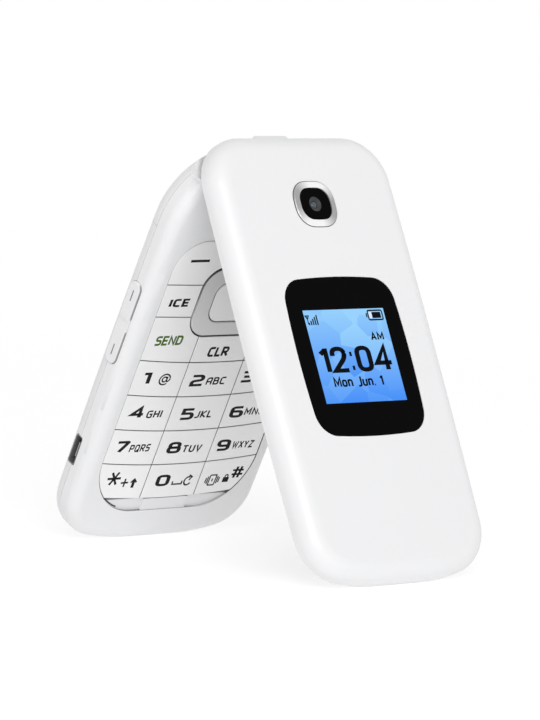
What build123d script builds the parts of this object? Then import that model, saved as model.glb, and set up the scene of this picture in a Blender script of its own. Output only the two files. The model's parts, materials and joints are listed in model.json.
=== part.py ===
from build123d import *
import os
from math import cos, hypot, radians, sin, tan

os.makedirs("parts", exist_ok=True)

# A clamshell phone standing on its two free ends like a tent. Each half is drawn in its own
# frame: the origin on the hinge axis, X along the axis, Y towards the hinge end, and Z out of
# the outer face of the flip, or out of the keypad face of the base. Millimetres throughout.

# ---- driving dimensions: the closed outline ----
phone_length = 99.0  # hinge end to free end of the flip
axis_inset = 6.7  # hinge axis behind the flip's hinge end
open_angle = 50.5  # angle between the halves as the phone stands
open_limit = 160.0  # angle between the halves when fully open
foot_half = 6.0  # half length of the straight stretch that each free end stands on
end_bulge = 3.6  # how far the free end bows out past its corners
side_bow = 0.6  # how far each long side bows out past its ends
mating_gap = 0.3  # between the two halves when the phone is shut
running_gap = 0.3  # between pieces that move past each other
snug_gap = 0.05  # around a piece that is seated in another
seam_gap = 0.1  # visible parting lines of the case

# ---- driving dimensions: flip ----
flip_width = 51.8
flip_inner = 0.6  # inner face above the hinge axis
flip_edge = 3.9  # rounding of the outer face
flip_lip = 0.4  # rounding of the inner rim
flip_top_corner = 11.0
flip_free_corner = 10.7
flip_wall = 1.2
inner_cover_thickness = 1.1
main_display_thickness = 1.25
flip_board_thickness = 0.6
module_thickness = 1.15  # body of the outer display
display_gap = 0.1  # over and under the displays

# ---- driving dimensions: base ----
base_width = 53.3
base_back_edge = 5.4  # rounding of the back
base_front_edge = 2.8  # rounding of the keypad face
base_end_inset = 3.3  # hinge end of the base behind the flip's hinge end
base_top_corner = 17.5
base_free_corner = 10.3
base_wall = 1.3
front_wall = 1.2
back_wall = 1.1
plunger_room = 0.9  # from the keypad cover down to the board
base_board_thickness = 0.8
board_gap = 0.3  # from the board to the tray
tray_thickness = 0.7
card_room = 0.85  # from the tray to the battery, for the SIM holders
battery_thickness = 3.85
battery_gap = 0.1
seam_drop = 4.9  # parting line under the keypad face
cover_seam = 22.0  # battery cover's top edge from the hinge end

# ---- driving dimensions: hinge ----
knuckle_radius = 4.2
knuckle_half = 12.0  # half length of the base's middle knuckle
side_knuckle_length = 7.2
shelf_angle = 22.0  # wedge of the base left standing over the swing of the flip
swing_inset = 1.6  # the swing's room is this much shorter than half the flip's width
swing_round = 7.5  # rounding of the ends of that room, after the flip's corners
can_radius = 3.0
can_wall = 0.35
can_start = -3.0
can_plate = 0.5  # thickness of the can's end plates
shaft_radius = 1.1
shaft_play = 0.1
cam_radius = 2.45
cam_length = 2.2
drive_length = 5.0
drive_flat = 1.0  # taken off the drive's round end by its two flats
bush_radius = 2.8
bush_bore = 2.2
bush_reach = 3.4  # how far the bush runs into the middle knuckle
spring_wire = 0.6
spring_turns = 5
flex_reach = 0.6  # how far the flex loops out of the left knuckle
flex_width = 4.0
flex_thickness = 0.2

# ---- driving dimensions: outer face of the flip ----
window_width = 32.0
window_height = 35.4
window_bow = 0.8
window_corner = 5.4
window_thickness = 0.85
window_proud = 0.05
window_from_end = 50.3  # centre of the window from the hinge end
screen_width = 23.0
screen_height = 20.6
screen_from_end = 50.2
screen_drop = 0.04  # the picture lies this far under the window's surface
module_margin = 1.7  # the outer display's body runs this far past its picture
ring_width = 11.7
ring_height = 10.4
ring_bow = 0.5
ring_corner = 4.3
ring_proud = 0.35
ring_band = 1.6
camera_from_end = 16.2
camera_size = 8.0
camera_height = 1.2
lens_radius = 1.9
glass_thickness = 0.6
glass_proud = 0.1
glass_bow = 0.35
glass_corner = 2.9
ledge = 0.5  # what carries a window or a glass around its opening
board_margin = 0.75  # between the boards and the case walls

# ---- driving dimensions: inner face of the flip ----
main_window_width = 38.6
main_window_height = 50.0
main_window_corner = 2.5
main_window_thickness = 0.7
main_display_width = 36.0
main_display_height = 47.0
main_display_from_end = 52.0
earpiece_from_free = 7.7
earpiece_length = 10.0
earpiece_width = 4.4
grille_slot = 0.8
grille_length = 2.6
grille_count = 5
magnet_size = 3.0
magnet_thickness = 1.2
magnet_x = -12.0
magnet_from_free = 17.5
bumper_radius = 1.9
bumper_proud = 0.25
bumper_thickness = 0.6
flip_screw_margin = 6.5  # upper screws from the sides
flip_screw_from_end = 20.5
flip_screw_low_margin = 8.3  # lower screws from the sides
flip_screw_from_free = 11.0

# ---- driving dimensions: screws ----
boss_radius = 1.7
screw_radius = 0.75
screw_clearance = 0.85
head_radius = 1.4
head_height = 0.7
slot_depth = 0.3
slot_length = 1.6
slot_width = 0.35
base_screw_x = 14.5
base_screw_from_end = 18.6
base_screw_low_x = 14.0
base_screw_from_free = 5.9

# ---- driving dimensions: keys ----
key_rim = 4.25  # from the side of the base to the key area
key_area_from_end = 23.0
key_area_from_free = 8.0
key_area_corner = 8.0
key_area_free_corner = 13.4
key_gap = 0.22
cap_drop = 0.05  # key tops under the keypad face
cap_thickness = 0.8
key_travel = 0.3
key_chamfer = 0.1
plunger_radius = 1.1
plunger_length = 0.55
soft_line = 34.2  # lower edges of the soft keys, from the hinge end
function_line = 42.2
call_line = 53.7
soft_curl = 0.4  # how far a row line curls up towards the hinge at the sides
function_curl = 0.5
number_curl = 1.25
number_rows = 4
chin_height = 3.0  # from the lowest row to the end of the key area
chin_depth = 0.65
chin_tab_half = 6.4
chin_tab_depth = 0.2
column_half = 7.8
nav_width = 23.6
nav_height = 16.9
nav_corner = 5.2
nav_gap = 0.35
nav_from_end = 38.4
nav_proud = 0.1
nav_chamfer = 0.3
nav_plunger_radius = 0.8
ok_width = 14.8
ok_height = 9.6
ok_corner = 3.0
ok_from_end = 38.5
mat_thickness = 0.25
mat_margin = 1.0
dome_sheet_thickness = 0.15
dome_height = 0.2
dome_radius = 1.9

# ---- driving dimensions: sides and inside of the base ----
rocker_from_end = 45.3
rocker_length = 19.8
rocker_width = 3.7
rocker_drop = 4.25  # middle of the rocker under the keypad face
rocker_proud = 0.4
rocker_corner = 1.7
rocker_depth = 1.9  # inside the case
rocker_lip = 0.8  # flange behind the wall at each end
lip_gap = 0.4
lip_thickness = 0.4
nub_offset = 6.5
nub_length = 0.65
rocker_waist = 0.25
waist_length = 2.0
switch_thickness = 1.2
usb_from_free = 21.6
usb_length = 7.0
usb_height = 2.4
usb_depth = 5.4
usb_drop = 5.3
usb_shell = 0.3
usb_corner = 0.55
jack_from_end = 25.0
jack_bore = 1.75
jack_radius = 2.5
jack_depth = 14.0
jack_floor = 1.0
jack_drop = 5.4
socket_seat = 0.35  # how far a socket's mouth lies inside the case
mic_from_free = 4.1
mic_hole = 0.4
mic_radius = 1.8
hump_half = 5.5
hump_slope = 1.0
hump_rise = 0.9  # above the base's hinge end
hump_root = 2.4
hump_thickness = 2.4
hump_lift = 1.1  # from the back face up to the hump
tray_margin = 7.85  # from the side of the base to the tray
battery_margin = 9.65  # from the side of the base to the battery
battery_from_end = 34.2
battery_corner = 1.5
well_gap = 0.3
well_wall = 1.0
card_width = 12.8
card_height = 13.0
card_thickness = 0.75
card_gap = 1.2
card_from_battery = 13.3  # from the battery's top end
contact_width = 8.0
contact_depth = 2.4
contact_height = 3.2
contact_x = -6.0
speaker_radius = 5.4
speaker_x = 7.0
speaker_from_free = 10.8
speaker_height = 2.6
speaker_slots = 4
speaker_pitch = 1.6
speaker_slot_length = 7.0
speaker_slot_width = 0.8
motor_radius = 5.0
motor_height = 2.7
motor_x = -7.0
well_to_speaker = 1.4
notch_radius = 3.2
notch_depth = 0.35
over = 1.0  # how far cutters run past what they cut


def up(from_end):
    """Height above the hinge axis of a point that lies from_end below the flip's hinge end."""
    return axis_inset - from_end


lean = radians(open_angle / 2)
flip_free = up(phone_length)

# Levels in the flip, from its inner face outwards.
inner_top = flip_inner + inner_cover_thickness
board_level = inner_top + main_display_thickness + display_gap
board_top = board_level + flip_board_thickness
web_roof = board_top + module_thickness + display_gap
flip_outer = web_roof + flip_wall
flip_thickness = flip_outer - flip_inner

# Levels in the base, from its keypad face down to its back.
base_front = flip_inner - mating_gap
mat_top = base_front - front_wall
base_board_top = mat_top - plunger_room
board_floor = base_board_top - base_board_thickness
tray_top = board_floor - board_gap
tray_floor = tray_top - tray_thickness
battery_front = tray_floor - card_room
room_back = battery_front - battery_thickness - battery_gap
base_back = room_back - back_wall
base_thickness = base_front - base_back
seam_level = base_front - seam_drop

# The flip's hinge end swings in a round room of the base.
swing_reach = hypot(axis_inset - flip_edge, flip_outer - flip_edge) + flip_edge
swing_radius = swing_reach + running_gap
swing_half = flip_width / 2 - swing_inset
bulkhead = -swing_radius - base_wall  # inner rooms stop here, short of the swing
side_start = knuckle_half + running_gap
side_end = side_start + side_knuckle_length
deck_edge = -knuckle_radius - 2 * running_gap


def foot_level(free_end, face, edge):
    """How far below the hinge axis a half reaches when it leans on its rounded free edge."""
    return (free_end + edge) * cos(lean) + (face + edge) * sin(lean) - edge


# The base is made just long enough to stand level with the flip.
flip_foot = foot_level(flip_free, flip_inner, flip_lip)
base_free = (
    flip_foot + base_front_edge - (base_front_edge - base_front) * sin(lean)
) / cos(lean) - base_front_edge
base_length = axis_inset - base_free


def case_outline(width, top, bottom, top_corner, free_corner, inset=0.0):
    """Outline of a half: bowed sides, a straight hinge end and a bowed free end with a foot."""
    reach = width / 2 - inset
    side = reach - side_bow
    end = top - inset
    foot = bottom + inset
    corner = foot + end_bulge
    with BuildSketch() as face:
        with BuildLine():
            Line((-side, end), (side, end))
            ThreePointArc((side, end), (reach, (end + corner) / 2), (side, corner))
            TangentArc((foot_half, foot), (side, corner), tangent=(1, 0))
            Line((-foot_half, foot), (foot_half, foot))
            TangentArc((-foot_half, foot), (-side, corner), tangent=(-1, 0))
            ThreePointArc((-side, corner), (-reach, (end + corner) / 2), (-side, end))
        make_face()
        fillet(face.vertices().group_by(Axis.Y)[-1], top_corner - inset)
        ends = [v for v in face.vertices() if abs(abs(v.X) - side) < snug_gap]
        fillet(ends, free_corner - inset)
    return face.sketch


def flip_shape(inset=0.0):
    return case_outline(flip_width, up(0), flip_free, flip_top_corner, flip_free_corner, inset)


def base_shape(inset=0.0):
    top = up(base_end_inset)
    return case_outline(base_width, top, base_free, base_top_corner, base_free_corner, inset)


def cushion(width, height, bow, corner):
    """A rounded rectangle whose four sides bow outwards."""
    side, end = width / 2, height / 2
    with BuildSketch() as face:
        with BuildLine():
            ThreePointArc((-side + bow, end - bow), (0, end), (side - bow, end - bow))
            ThreePointArc((side - bow, end - bow), (side, 0), (side - bow, bow - end))
            ThreePointArc((side - bow, bow - end), (0, -end), (bow - side, bow - end))
            ThreePointArc((bow - side, bow - end), (-side, 0), (bow - side, end - bow))
        make_face()
        fillet(face.vertices(), corner)
    return face.sketch


# Seats of the two halves: the hinge axis along X, the flip in front and the base behind.
hinge_point = (0, 0, 0)
flip_seat = Plane(origin=hinge_point, x_dir=(1, 0, 0), z_dir=(0, -cos(lean), sin(lean)))
base_seat = Plane(origin=hinge_point, x_dir=(1, 0, 0), z_dir=(0, -cos(lean), -sin(lean)))
pieces = {}


def keep(block, node, seat):
    """Puts a finished piece on its half and files it under its node name."""
    placed = block.part.moved(seat.location)
    placed.label = node
    pieces[node] = placed


# ================= flip =================

with BuildPart() as flip_form:
    with BuildSketch(Plane.XY.offset(flip_inner)):
        add(flip_shape())
    extrude(amount=flip_thickness)
    fillet(flip_form.faces().sort_by(Axis.Z)[-1].edges(), flip_edge)
    fillet(flip_form.faces().sort_by(Axis.Z)[0].edges(), flip_lip)

with BuildPart() as flip_room:
    with BuildSketch(Plane.XY.offset(flip_inner - over)):
        add(flip_shape(flip_wall))
    extrude(amount=flip_thickness - flip_wall + over)
    fillet(flip_room.faces().sort_by(Axis.Z)[-1].edges(), flip_edge - flip_wall)

# The flip's two side knuckles stand outside the base's middle knuckle.
web_top = axis_inset - flip_wall + snug_gap
with BuildPart() as knuckle_webs:
    with BuildSketch(Plane.YZ.offset(side_start)):
        with BuildLine():
            Polyline(
                (-knuckle_radius, flip_inner),
                (web_top, flip_inner),
                (web_top, flip_outer - flip_edge),
                (web_top - flip_edge + flip_wall, web_roof + snug_gap),
                (-knuckle_radius + over, web_roof + snug_gap),
                close=True,
            )
        make_face()
    extrude(amount=side_knuckle_length)
    mirror(about=Plane.YZ)
    add(flip_form.part, mode=Mode.INTERSECT)

# A deck closes the hinge end of the flip beside the knuckles.
with BuildPart() as hinge_deck:
    with BuildSketch(Plane.XY.offset(flip_inner)):
        add(flip_shape(flip_wall / 2))
        with Locations((0, deck_edge)):
            Rectangle(flip_width, phone_length * 2, align=(Align.CENTER, Align.MAX), mode=Mode.SUBTRACT)
        Rectangle(2 * side_start, 2 * phone_length, mode=Mode.SUBTRACT)
    extrude(amount=inner_cover_thickness)

window_y = up(window_from_end)
screen_y = up(screen_from_end)
camera_y = up(camera_from_end)
upper_x = flip_width / 2 - flip_screw_margin
lower_x = flip_width / 2 - flip_screw_low_margin
upper_y = up(flip_screw_from_end)
lower_y = flip_free + flip_screw_from_free
flip_screw_spots = [(-upper_x, upper_y), (upper_x, upper_y), (-lower_x, lower_y), (lower_x, lower_y)]
boss_bore = web_roof - board_top + flip_wall / 4  # blind holes for the screws' ends
fit = 2 * snug_gap  # a seat is this much wider than what it holds

with BuildPart() as flip_outer_cover:
    add(flip_form.part)
    add(flip_room.part, mode=Mode.SUBTRACT)
    add(knuckle_webs.part)
    add(hinge_deck.part)
    with BuildSketch(Plane.YZ.offset(side_start)):
        Circle(knuckle_radius)
    extrude(amount=side_knuckle_length)
    with BuildSketch(Plane.YZ.offset(-side_start)):
        Circle(knuckle_radius)
    extrude(amount=-side_knuckle_length)
    # pivot bores: a blind one for the hinge drive, a through one for the bush and the flex
    with BuildSketch(Plane.YZ.offset(side_start)):
        Circle(cam_radius + snug_gap)
    extrude(amount=drive_length + snug_gap, mode=Mode.SUBTRACT)
    with BuildSketch(Plane.YZ.offset(-side_start)):
        Circle(bush_radius + snug_gap)
    extrude(amount=-side_knuckle_length - over, mode=Mode.SUBTRACT)
    # seats of the window and its screen
    with BuildSketch(Plane.XY.offset(flip_outer + over)):
        with Locations((0, window_y)):
            add(cushion(window_width + fit, window_height + fit, window_bow, window_corner))
    extrude(amount=-over - window_thickness + window_proud, mode=Mode.SUBTRACT)
    with Locations((0, screen_y, flip_outer)):
        Box(screen_width + 2 * ledge, screen_height + 2 * ledge, 2 * (flip_wall + over), mode=Mode.SUBTRACT)
    # seat of the camera ring
    with BuildSketch(Plane.XY.offset(flip_outer + over)):
        with Locations((0, camera_y)):
            add(cushion(ring_width + fit, ring_height + fit, ring_bow, ring_corner))
    extrude(amount=-2 * over - flip_wall, mode=Mode.SUBTRACT)
    # screw bosses hang from the outer wall down to the board
    with BuildSketch(Plane.XY.offset(board_top)):
        with Locations(*flip_screw_spots):
            Circle(boss_radius)
    extrude(amount=flip_outer - board_top - flip_wall / 2)
    with BuildSketch(Plane.XY.offset(board_top)):
        with Locations(*flip_screw_spots):
            Circle(screw_radius + snug_gap)
    extrude(amount=boss_bore, mode=Mode.SUBTRACT)
keep(flip_outer_cover, "flip_outer_cover", flip_seat)

main_display_y = up(main_display_from_end)
earpiece_y = flip_free + earpiece_from_free
grille_pitch = 2 * grille_slot
bumper_floor = flip_inner - bumper_proud + bumper_thickness
head_level = bumper_floor + snug_gap
head_floor = head_level + head_height + snug_gap
rim_inset = flip_wall + snug_gap

with BuildPart() as flip_inner_cover:
    with BuildSketch(Plane.XY.offset(flip_inner)):
        add(flip_shape(rim_inset))
        with Locations((0, deck_edge - seam_gap)):
            Rectangle(flip_width, phone_length, align=(Align.CENTER, Align.MIN), mode=Mode.SUBTRACT)
    extrude(amount=inner_cover_thickness)
    with BuildSketch(Plane.XY.offset(inner_top)):
        with Locations(*flip_screw_spots):
            Circle(boss_radius)
    extrude(amount=board_level - inner_top)
    with BuildSketch(Plane.XY.offset(flip_inner)):
        with Locations((0, main_display_y)):
            RectangleRounded(
                main_window_width + fit, main_window_height + fit, main_window_corner
            )
    extrude(amount=main_window_thickness, mode=Mode.SUBTRACT)
    with Locations((0, main_display_y, inner_top)):
        Box(
            main_display_width - 2 * ledge,
            main_display_height - 2 * ledge,
            2 * inner_cover_thickness,
            mode=Mode.SUBTRACT,
        )
    with BuildSketch(Plane.XY.offset(flip_inner - over)):
        with Locations((0, earpiece_y)):
            with GridLocations(grille_pitch, 0, grille_count, 1):
                SlotOverall(grille_length, grille_slot, rotation=90)
    extrude(amount=inner_cover_thickness + 2 * over, mode=Mode.SUBTRACT)
    for floor, radius in ((bumper_floor, bumper_radius), (head_floor, head_radius)):
        with BuildSketch(Plane.XY.offset(flip_inner)):
            with Locations(*flip_screw_spots):
                Circle(radius + snug_gap)
        extrude(amount=floor - flip_inner, mode=Mode.SUBTRACT)
    with BuildSketch(Plane.XY.offset(flip_inner)):
        with Locations(*flip_screw_spots):
            Circle(screw_clearance)
    extrude(amount=board_level, mode=Mode.SUBTRACT)
keep(flip_inner_cover, "flip_inner_cover", flip_seat)

window_floor = flip_outer + window_proud - window_thickness
with BuildPart() as outer_window:
    with BuildSketch(Plane.XY.offset(window_floor)):
        with Locations((0, window_y)):
            add(cushion(window_width, window_height, window_bow, window_corner))
        with Locations((0, screen_y)):
            Rectangle(screen_width + fit, screen_height + fit, mode=Mode.SUBTRACT)
    extrude(amount=window_thickness)
    fillet(outer_window.faces().sort_by(Axis.Z)[-1].outer_wire().edges(), window_thickness / 4)
keep(outer_window, "outer_window", flip_seat)

with BuildPart() as outer_display:
    with BuildSketch(Plane.XY.offset(board_top)):
        with Locations((0, screen_y)):
            Rectangle(screen_width + 2 * module_margin, screen_height + 2 * module_margin)
    extrude(amount=module_thickness)
    with BuildSketch(Plane.XY.offset(board_top + module_thickness)):
        with Locations((0, screen_y)):
            Rectangle(screen_width, screen_height)
    extrude(amount=flip_outer + window_proud - screen_drop - board_top - module_thickness)
keep(outer_display, "outer_display", flip_seat)

glass_width = ring_width - 2 * ring_band
glass_height = ring_height - 2 * ring_band
ring_top = flip_outer + ring_proud
glass_top = flip_outer + glass_proud
glass_floor = glass_top - glass_thickness
with BuildPart() as camera_ring:
    with BuildSketch(Plane.XY.offset(web_roof)):
        with Locations((0, camera_y)):
            add(cushion(ring_width, ring_height, ring_bow, ring_corner))
    extrude(amount=ring_top - web_roof)
    fillet(camera_ring.faces().sort_by(Axis.Z)[-1].edges(), 2 * (ring_proud - snug_gap))
    with BuildSketch(Plane.XY.offset(glass_floor)):
        with Locations((0, camera_y)):
            add(cushion(glass_width + fit, glass_height + fit, glass_bow, glass_corner))
    extrude(amount=glass_thickness + over, mode=Mode.SUBTRACT)
    with BuildSketch(Plane.XY.offset(web_roof - over)):
        with Locations((0, camera_y)):
            well = (glass_width - 2 * ledge, glass_height - 2 * ledge)
            add(cushion(*well, glass_bow, glass_corner - ledge))
    extrude(amount=ring_top - web_roof + over, mode=Mode.SUBTRACT)
keep(camera_ring, "camera_ring", flip_seat)

with BuildPart() as camera_glass:
    with BuildSketch(Plane.XY.offset(glass_floor)):
        with Locations((0, camera_y)):
            add(cushion(glass_width, glass_height, glass_bow, glass_corner))
    extrude(amount=glass_thickness)
keep(camera_glass, "camera_glass", flip_seat)

with BuildPart() as camera_module:
    with BuildSketch(Plane.XY.offset(board_top)):
        with Locations((0, camera_y)):
            Rectangle(camera_size, camera_size)
    extrude(amount=camera_height)
    with BuildSketch(Plane.XY.offset(board_top + camera_height)):
        with Locations((0, camera_y)):
            Circle(lens_radius)
    extrude(amount=glass_floor - snug_gap - board_top - camera_height)
keep(camera_module, "camera_module", flip_seat)

flip_board_edge = deck_edge - running_gap
with BuildPart() as flip_board:
    with BuildSketch(Plane.XY.offset(board_level)):
        add(flip_shape(flip_wall + board_margin))
        with Locations((0, flip_board_edge)):
            Rectangle(flip_width, phone_length, align=(Align.CENTER, Align.MIN), mode=Mode.SUBTRACT)
        with Locations(*flip_screw_spots):
            Circle(screw_clearance, mode=Mode.SUBTRACT)
    extrude(amount=flip_board_thickness)
keep(flip_board, "flip_board", flip_seat)

with BuildPart() as main_display:
    with BuildSketch(Plane.XY.offset(board_level)):
        with Locations((0, main_display_y)):
            Rectangle(main_display_width, main_display_height)
    extrude(amount=-main_display_thickness)
keep(main_display, "main_display", flip_seat)

with BuildPart() as main_window:
    with BuildSketch(Plane.XY.offset(flip_inner)):
        with Locations((0, main_display_y)):
            RectangleRounded(main_window_width, main_window_height, main_window_corner)
    extrude(amount=main_window_thickness)
keep(main_window, "main_window", flip_seat)

with BuildPart() as earpiece:
    with BuildSketch(Plane.XY.offset(board_level)):
        with Locations((0, earpiece_y)):
            RectangleRounded(earpiece_length, earpiece_width, earpiece_width / 3)
    extrude(amount=inner_top - board_level)
keep(earpiece, "earpiece", flip_seat)

with BuildPart() as flip_bumpers:
    with BuildSketch(Plane.XY.offset(flip_inner - bumper_proud)):
        with Locations(*flip_screw_spots):
            Circle(bumper_radius)
    extrude(amount=bumper_thickness)
    chamfer(flip_bumpers.faces().group_by(Axis.Z)[0].edges(), bumper_proud / 2)
keep(flip_bumpers, "flip_bumpers", flip_seat)


def make_screws(spots, head, direction, length):
    """Cross-slot screws whose heads start at one level and whose shanks run in one direction."""
    with BuildPart() as screws:
        with BuildSketch(Plane.XY.offset(head)):
            with Locations(*spots):
                Circle(head_radius)
        extrude(amount=direction * head_height)
        with BuildSketch(Plane.XY.offset(head)):
            with Locations(*spots):
                Circle(screw_radius)
        extrude(amount=direction * length)
        with BuildSketch(Plane.XY.offset(head)):
            with Locations(*spots):
                Rectangle(slot_length, slot_width)
                Rectangle(slot_width, slot_length)
        extrude(amount=direction * slot_depth, mode=Mode.SUBTRACT)
    return screws


screw_end = board_top + boss_bore - snug_gap
flip_screws = make_screws(flip_screw_spots, head_level, 1, screw_end - head_level)
keep(flip_screws, "flip_screws", flip_seat)

with BuildPart() as flip_magnet:
    with BuildSketch(Plane.XY.offset(board_level)):
        with Locations((magnet_x, flip_free + magnet_from_free)):
            Rectangle(magnet_size, magnet_size)
    extrude(amount=-magnet_thickness)
keep(flip_magnet, "flip_magnet", flip_seat)

# ================= base: outer forms =================

with BuildPart() as base_form:
    with BuildSketch(Plane.XY.offset(base_back)):
        add(base_shape())
    extrude(amount=base_thickness)
    fillet(base_form.faces().sort_by(Axis.Z)[0].edges(), base_back_edge)
    fillet(base_form.faces().sort_by(Axis.Z)[-1].edges(), base_front_edge)

with BuildPart() as base_room:
    with BuildSketch(Plane.XY.offset(base_back + back_wall)):
        add(base_shape(base_wall))
    extrude(amount=base_thickness - back_wall - front_wall)
    fillet(base_room.faces().sort_by(Axis.Z)[0].edges(), base_back_edge - base_wall)
    with Locations((0, bulkhead, 0)):
        Box(
            2 * base_width,
            phone_length,
            4 * base_thickness,
            align=(Align.CENTER, Align.MIN, Align.CENTER),
            mode=Mode.SUBTRACT,
        )

# The flip's hinge end swings through this room, under a wedge-shaped shelf of the base.
turn = radians(open_limit)
open_seat = Plane(origin=hinge_point, x_dir=(1, 0, 0), z_dir=(0, sin(turn), cos(turn)))
with BuildPart() as swing_room:
    Cylinder(swing_radius, 2 * swing_half, rotation=(0, 90, 0))
    ends = swing_room.edges().filter_by(GeomType.CIRCLE)
    fillet(ends, swing_round)
    with BuildSketch(Plane.YZ.offset(-swing_half)):
        with BuildLine():
            Polyline(
                (0, 0),
                (-2 * swing_radius, 2 * swing_radius),
                (-2 * swing_radius, -2 * swing_radius * tan(radians(shelf_angle))),
                close=True,
            )
        make_face()
    extrude(amount=2 * swing_half, mode=Mode.SUBTRACT)
    # under the keypad the room follows the rounded corners of the fully opened flip
    with BuildSketch(open_seat.offset(-2 * swing_radius)):
        add(flip_shape(-running_gap))
    extrude(amount=4 * swing_radius, mode=Mode.INTERSECT)

# Places in the base.
side_wall_x = base_width / 2
key_area_half = side_wall_x - key_rim
key_area_top = up(key_area_from_end)
key_area_bottom = base_free + key_area_from_free
nav_y = up(nav_from_end)
ok_y = up(ok_from_end)
cap_top = base_front - cap_drop
cap_bottom = cap_top - cap_thickness
plunger_bottom = cap_bottom - plunger_length
screw_x = (base_screw_x, base_screw_low_x)
screw_y = (up(base_screw_from_end), base_free + base_screw_from_free)
base_screw_spots = [(side * x, y) for x, y in zip(screw_x, screw_y) for side in (-1, 1)]
tray_half = side_wall_x - tray_margin
tray_end = base_free + base_wall + board_gap + 2 * well_wall
speaker_y = base_free + speaker_from_free
battery_half = side_wall_x - battery_margin
battery_top_end = up(battery_from_end)
battery_low_end = speaker_y + speaker_radius + well_to_speaker + well_wall + well_gap
rocker_y = up(rocker_from_end)
rocker_level = base_front - rocker_drop
usb_y = base_free + usb_from_free
usb_level = base_front - usb_drop
jack_y = up(jack_from_end)
jack_level = base_front - jack_drop
mic_spot = (0, base_free + mic_from_free)
base_end = up(base_end_inset)
cover_end = up(cover_seam)

# Lines between the key rows: height at the middle, and how far each curls up at the sides.
star_line = key_area_bottom + chin_height
row_pitch = (up(call_line) - star_line) / number_rows
row_lines = {
    "soft": (up(soft_line), soft_curl),
    "function": (up(function_line), function_curl),
    "call": (up(call_line), number_curl),
    "one": (star_line + 3 * row_pitch, number_curl),
    "four": (star_line + 2 * row_pitch, number_curl),
    "seven": (star_line + row_pitch, number_curl),
    "star": (star_line, number_curl),
}


def row_height(line, x):
    """Height of a row line at x: it curls up towards the sides of the key area."""
    middle, curl = row_lines[line]
    return middle + curl * (x / key_area_half) ** 2


with BuildSketch() as key_area:
    with Locations((0, (key_area_top + key_area_bottom) / 2)):
        Rectangle(2 * key_area_half, key_area_top - key_area_bottom)
    fillet(key_area.vertices().group_by(Axis.Y)[-1], key_area_corner)
    fillet(key_area.vertices().group_by(Axis.Y)[0], key_area_free_corner)

with BuildSketch() as nav_well:
    with Locations((0, nav_y)):
        RectangleRounded(nav_width + 2 * nav_gap, nav_height + 2 * nav_gap, nav_corner + nav_gap)


def band(left, right, upper, lower):
    """The area between two row lines, or from a row line to the end of the key area."""
    middle = (left + right) / 2
    spots = (left, middle, right)
    top = [row_height(upper, x) - key_gap / 2 if upper else key_area_top + over for x in spots]
    low = [row_height(lower, x) + key_gap / 2 if lower else key_area_bottom - over for x in spots]
    with BuildSketch() as area:
        with BuildLine():
            if upper:
                ThreePointArc((left, top[0]), (middle, top[1]), (right, top[2]))
            else:
                Line((left, top[0]), (right, top[2]))
            Line((right, top[2]), (right, low[2]))
            if lower:
                ThreePointArc((right, low[2]), (middle, low[1]), (left, low[0]))
            else:
                Line((right, low[2]), (left, low[0]))
            Line((left, low[0]), (left, top[0]))
        make_face()
    return area.sketch


def key_face(left, right, upper, lower):
    """Top view of a key: its cell of the key area, less the gaps and the navigation ring."""
    with BuildSketch() as face:
        add(key_area.sketch)
        offset(amount=-key_gap)
        add(band(left + key_gap / 2, right - key_gap / 2, upper, lower), mode=Mode.INTERSECT)
        add(nav_well.sketch, mode=Mode.SUBTRACT)
    return face.sketch


outer = key_area_half + over
key_cells = {
    "soft_key_left": (-outer, -key_gap / 2, None, "soft"),
    "soft_key_right": (key_gap / 2, outer, None, "soft"),
    "function_key": (-outer, -key_gap / 2, "soft", "function"),
    "camera_key": (key_gap / 2, outer, "soft", "function"),
    "call_key": (-outer, -column_half, "function", "call"),
    "clear_key": (-column_half, column_half, "function", "call"),
    "end_key": (column_half, outer, "function", "call"),
}
rows = ["call", "one", "four", "seven", "star"]
digits = [["key_1", "key_2", "key_3"], ["key_4", "key_5", "key_6"], ["key_7", "key_8", "key_9"]]
digits.append(["key_star", "key_0", "key_hash"])
columns = [(-outer, -column_half), (-column_half, column_half), (column_half, outer)]
for row, names in enumerate(digits):
    for column, name in enumerate(names):
        key_cells[name] = (*columns[column], rows[row], rows[row + 1])
key_faces = {name: key_face(*cell) for name, cell in key_cells.items()}
key_centres = {name: face.faces().sort_by(SortBy.AREA)[-1].center() for name, face in key_faces.items()}
nav_reach = (nav_width + ok_width) / 4
nav_rise = (nav_height + ok_height) / 4
nav_plungers = [(-nav_reach, nav_y), (nav_reach, nav_y), (0, nav_y - nav_rise), (0, nav_y + nav_rise)]
ok_plunger = (0, ok_y)
plunger_spots = [(c.X, c.Y) for c in key_centres.values()] + nav_plungers + [ok_plunger]

# ================= base: covers =================


def side_hole(y, z, length, height, corner):
    """A rounded cutter through the left wall, long along the phone."""
    with BuildPart() as cutter:
        with BuildSketch(Plane.YZ.offset(-side_wall_x - over)):
            with Locations((y, z)):
                RectangleRounded(length, height, corner)
        extrude(amount=over + 2 * base_wall)
    return cutter.part


rocker_slot = (rocker_length + 2 * fit, rocker_width + 2 * fit)
rocker_hole = side_hole(rocker_y, rocker_level, *rocker_slot, rocker_corner + fit)
usb_hole = side_hole(usb_y, usb_level, usb_length + fit, usb_height + fit, usb_corner)
with BuildPart() as jack_hole:
    with BuildSketch(Plane.YZ.offset(side_wall_x - 3 * base_wall)):
        with Locations((jack_y, jack_level)):
            Circle(jack_radius + snug_gap)
        with Locations((jack_y, jack_level)):
            lift = seam_level - jack_level
            Rectangle(2 * (jack_radius + snug_gap), lift, align=(Align.CENTER, Align.MIN))
    extrude(amount=3 * base_wall + over)

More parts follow.
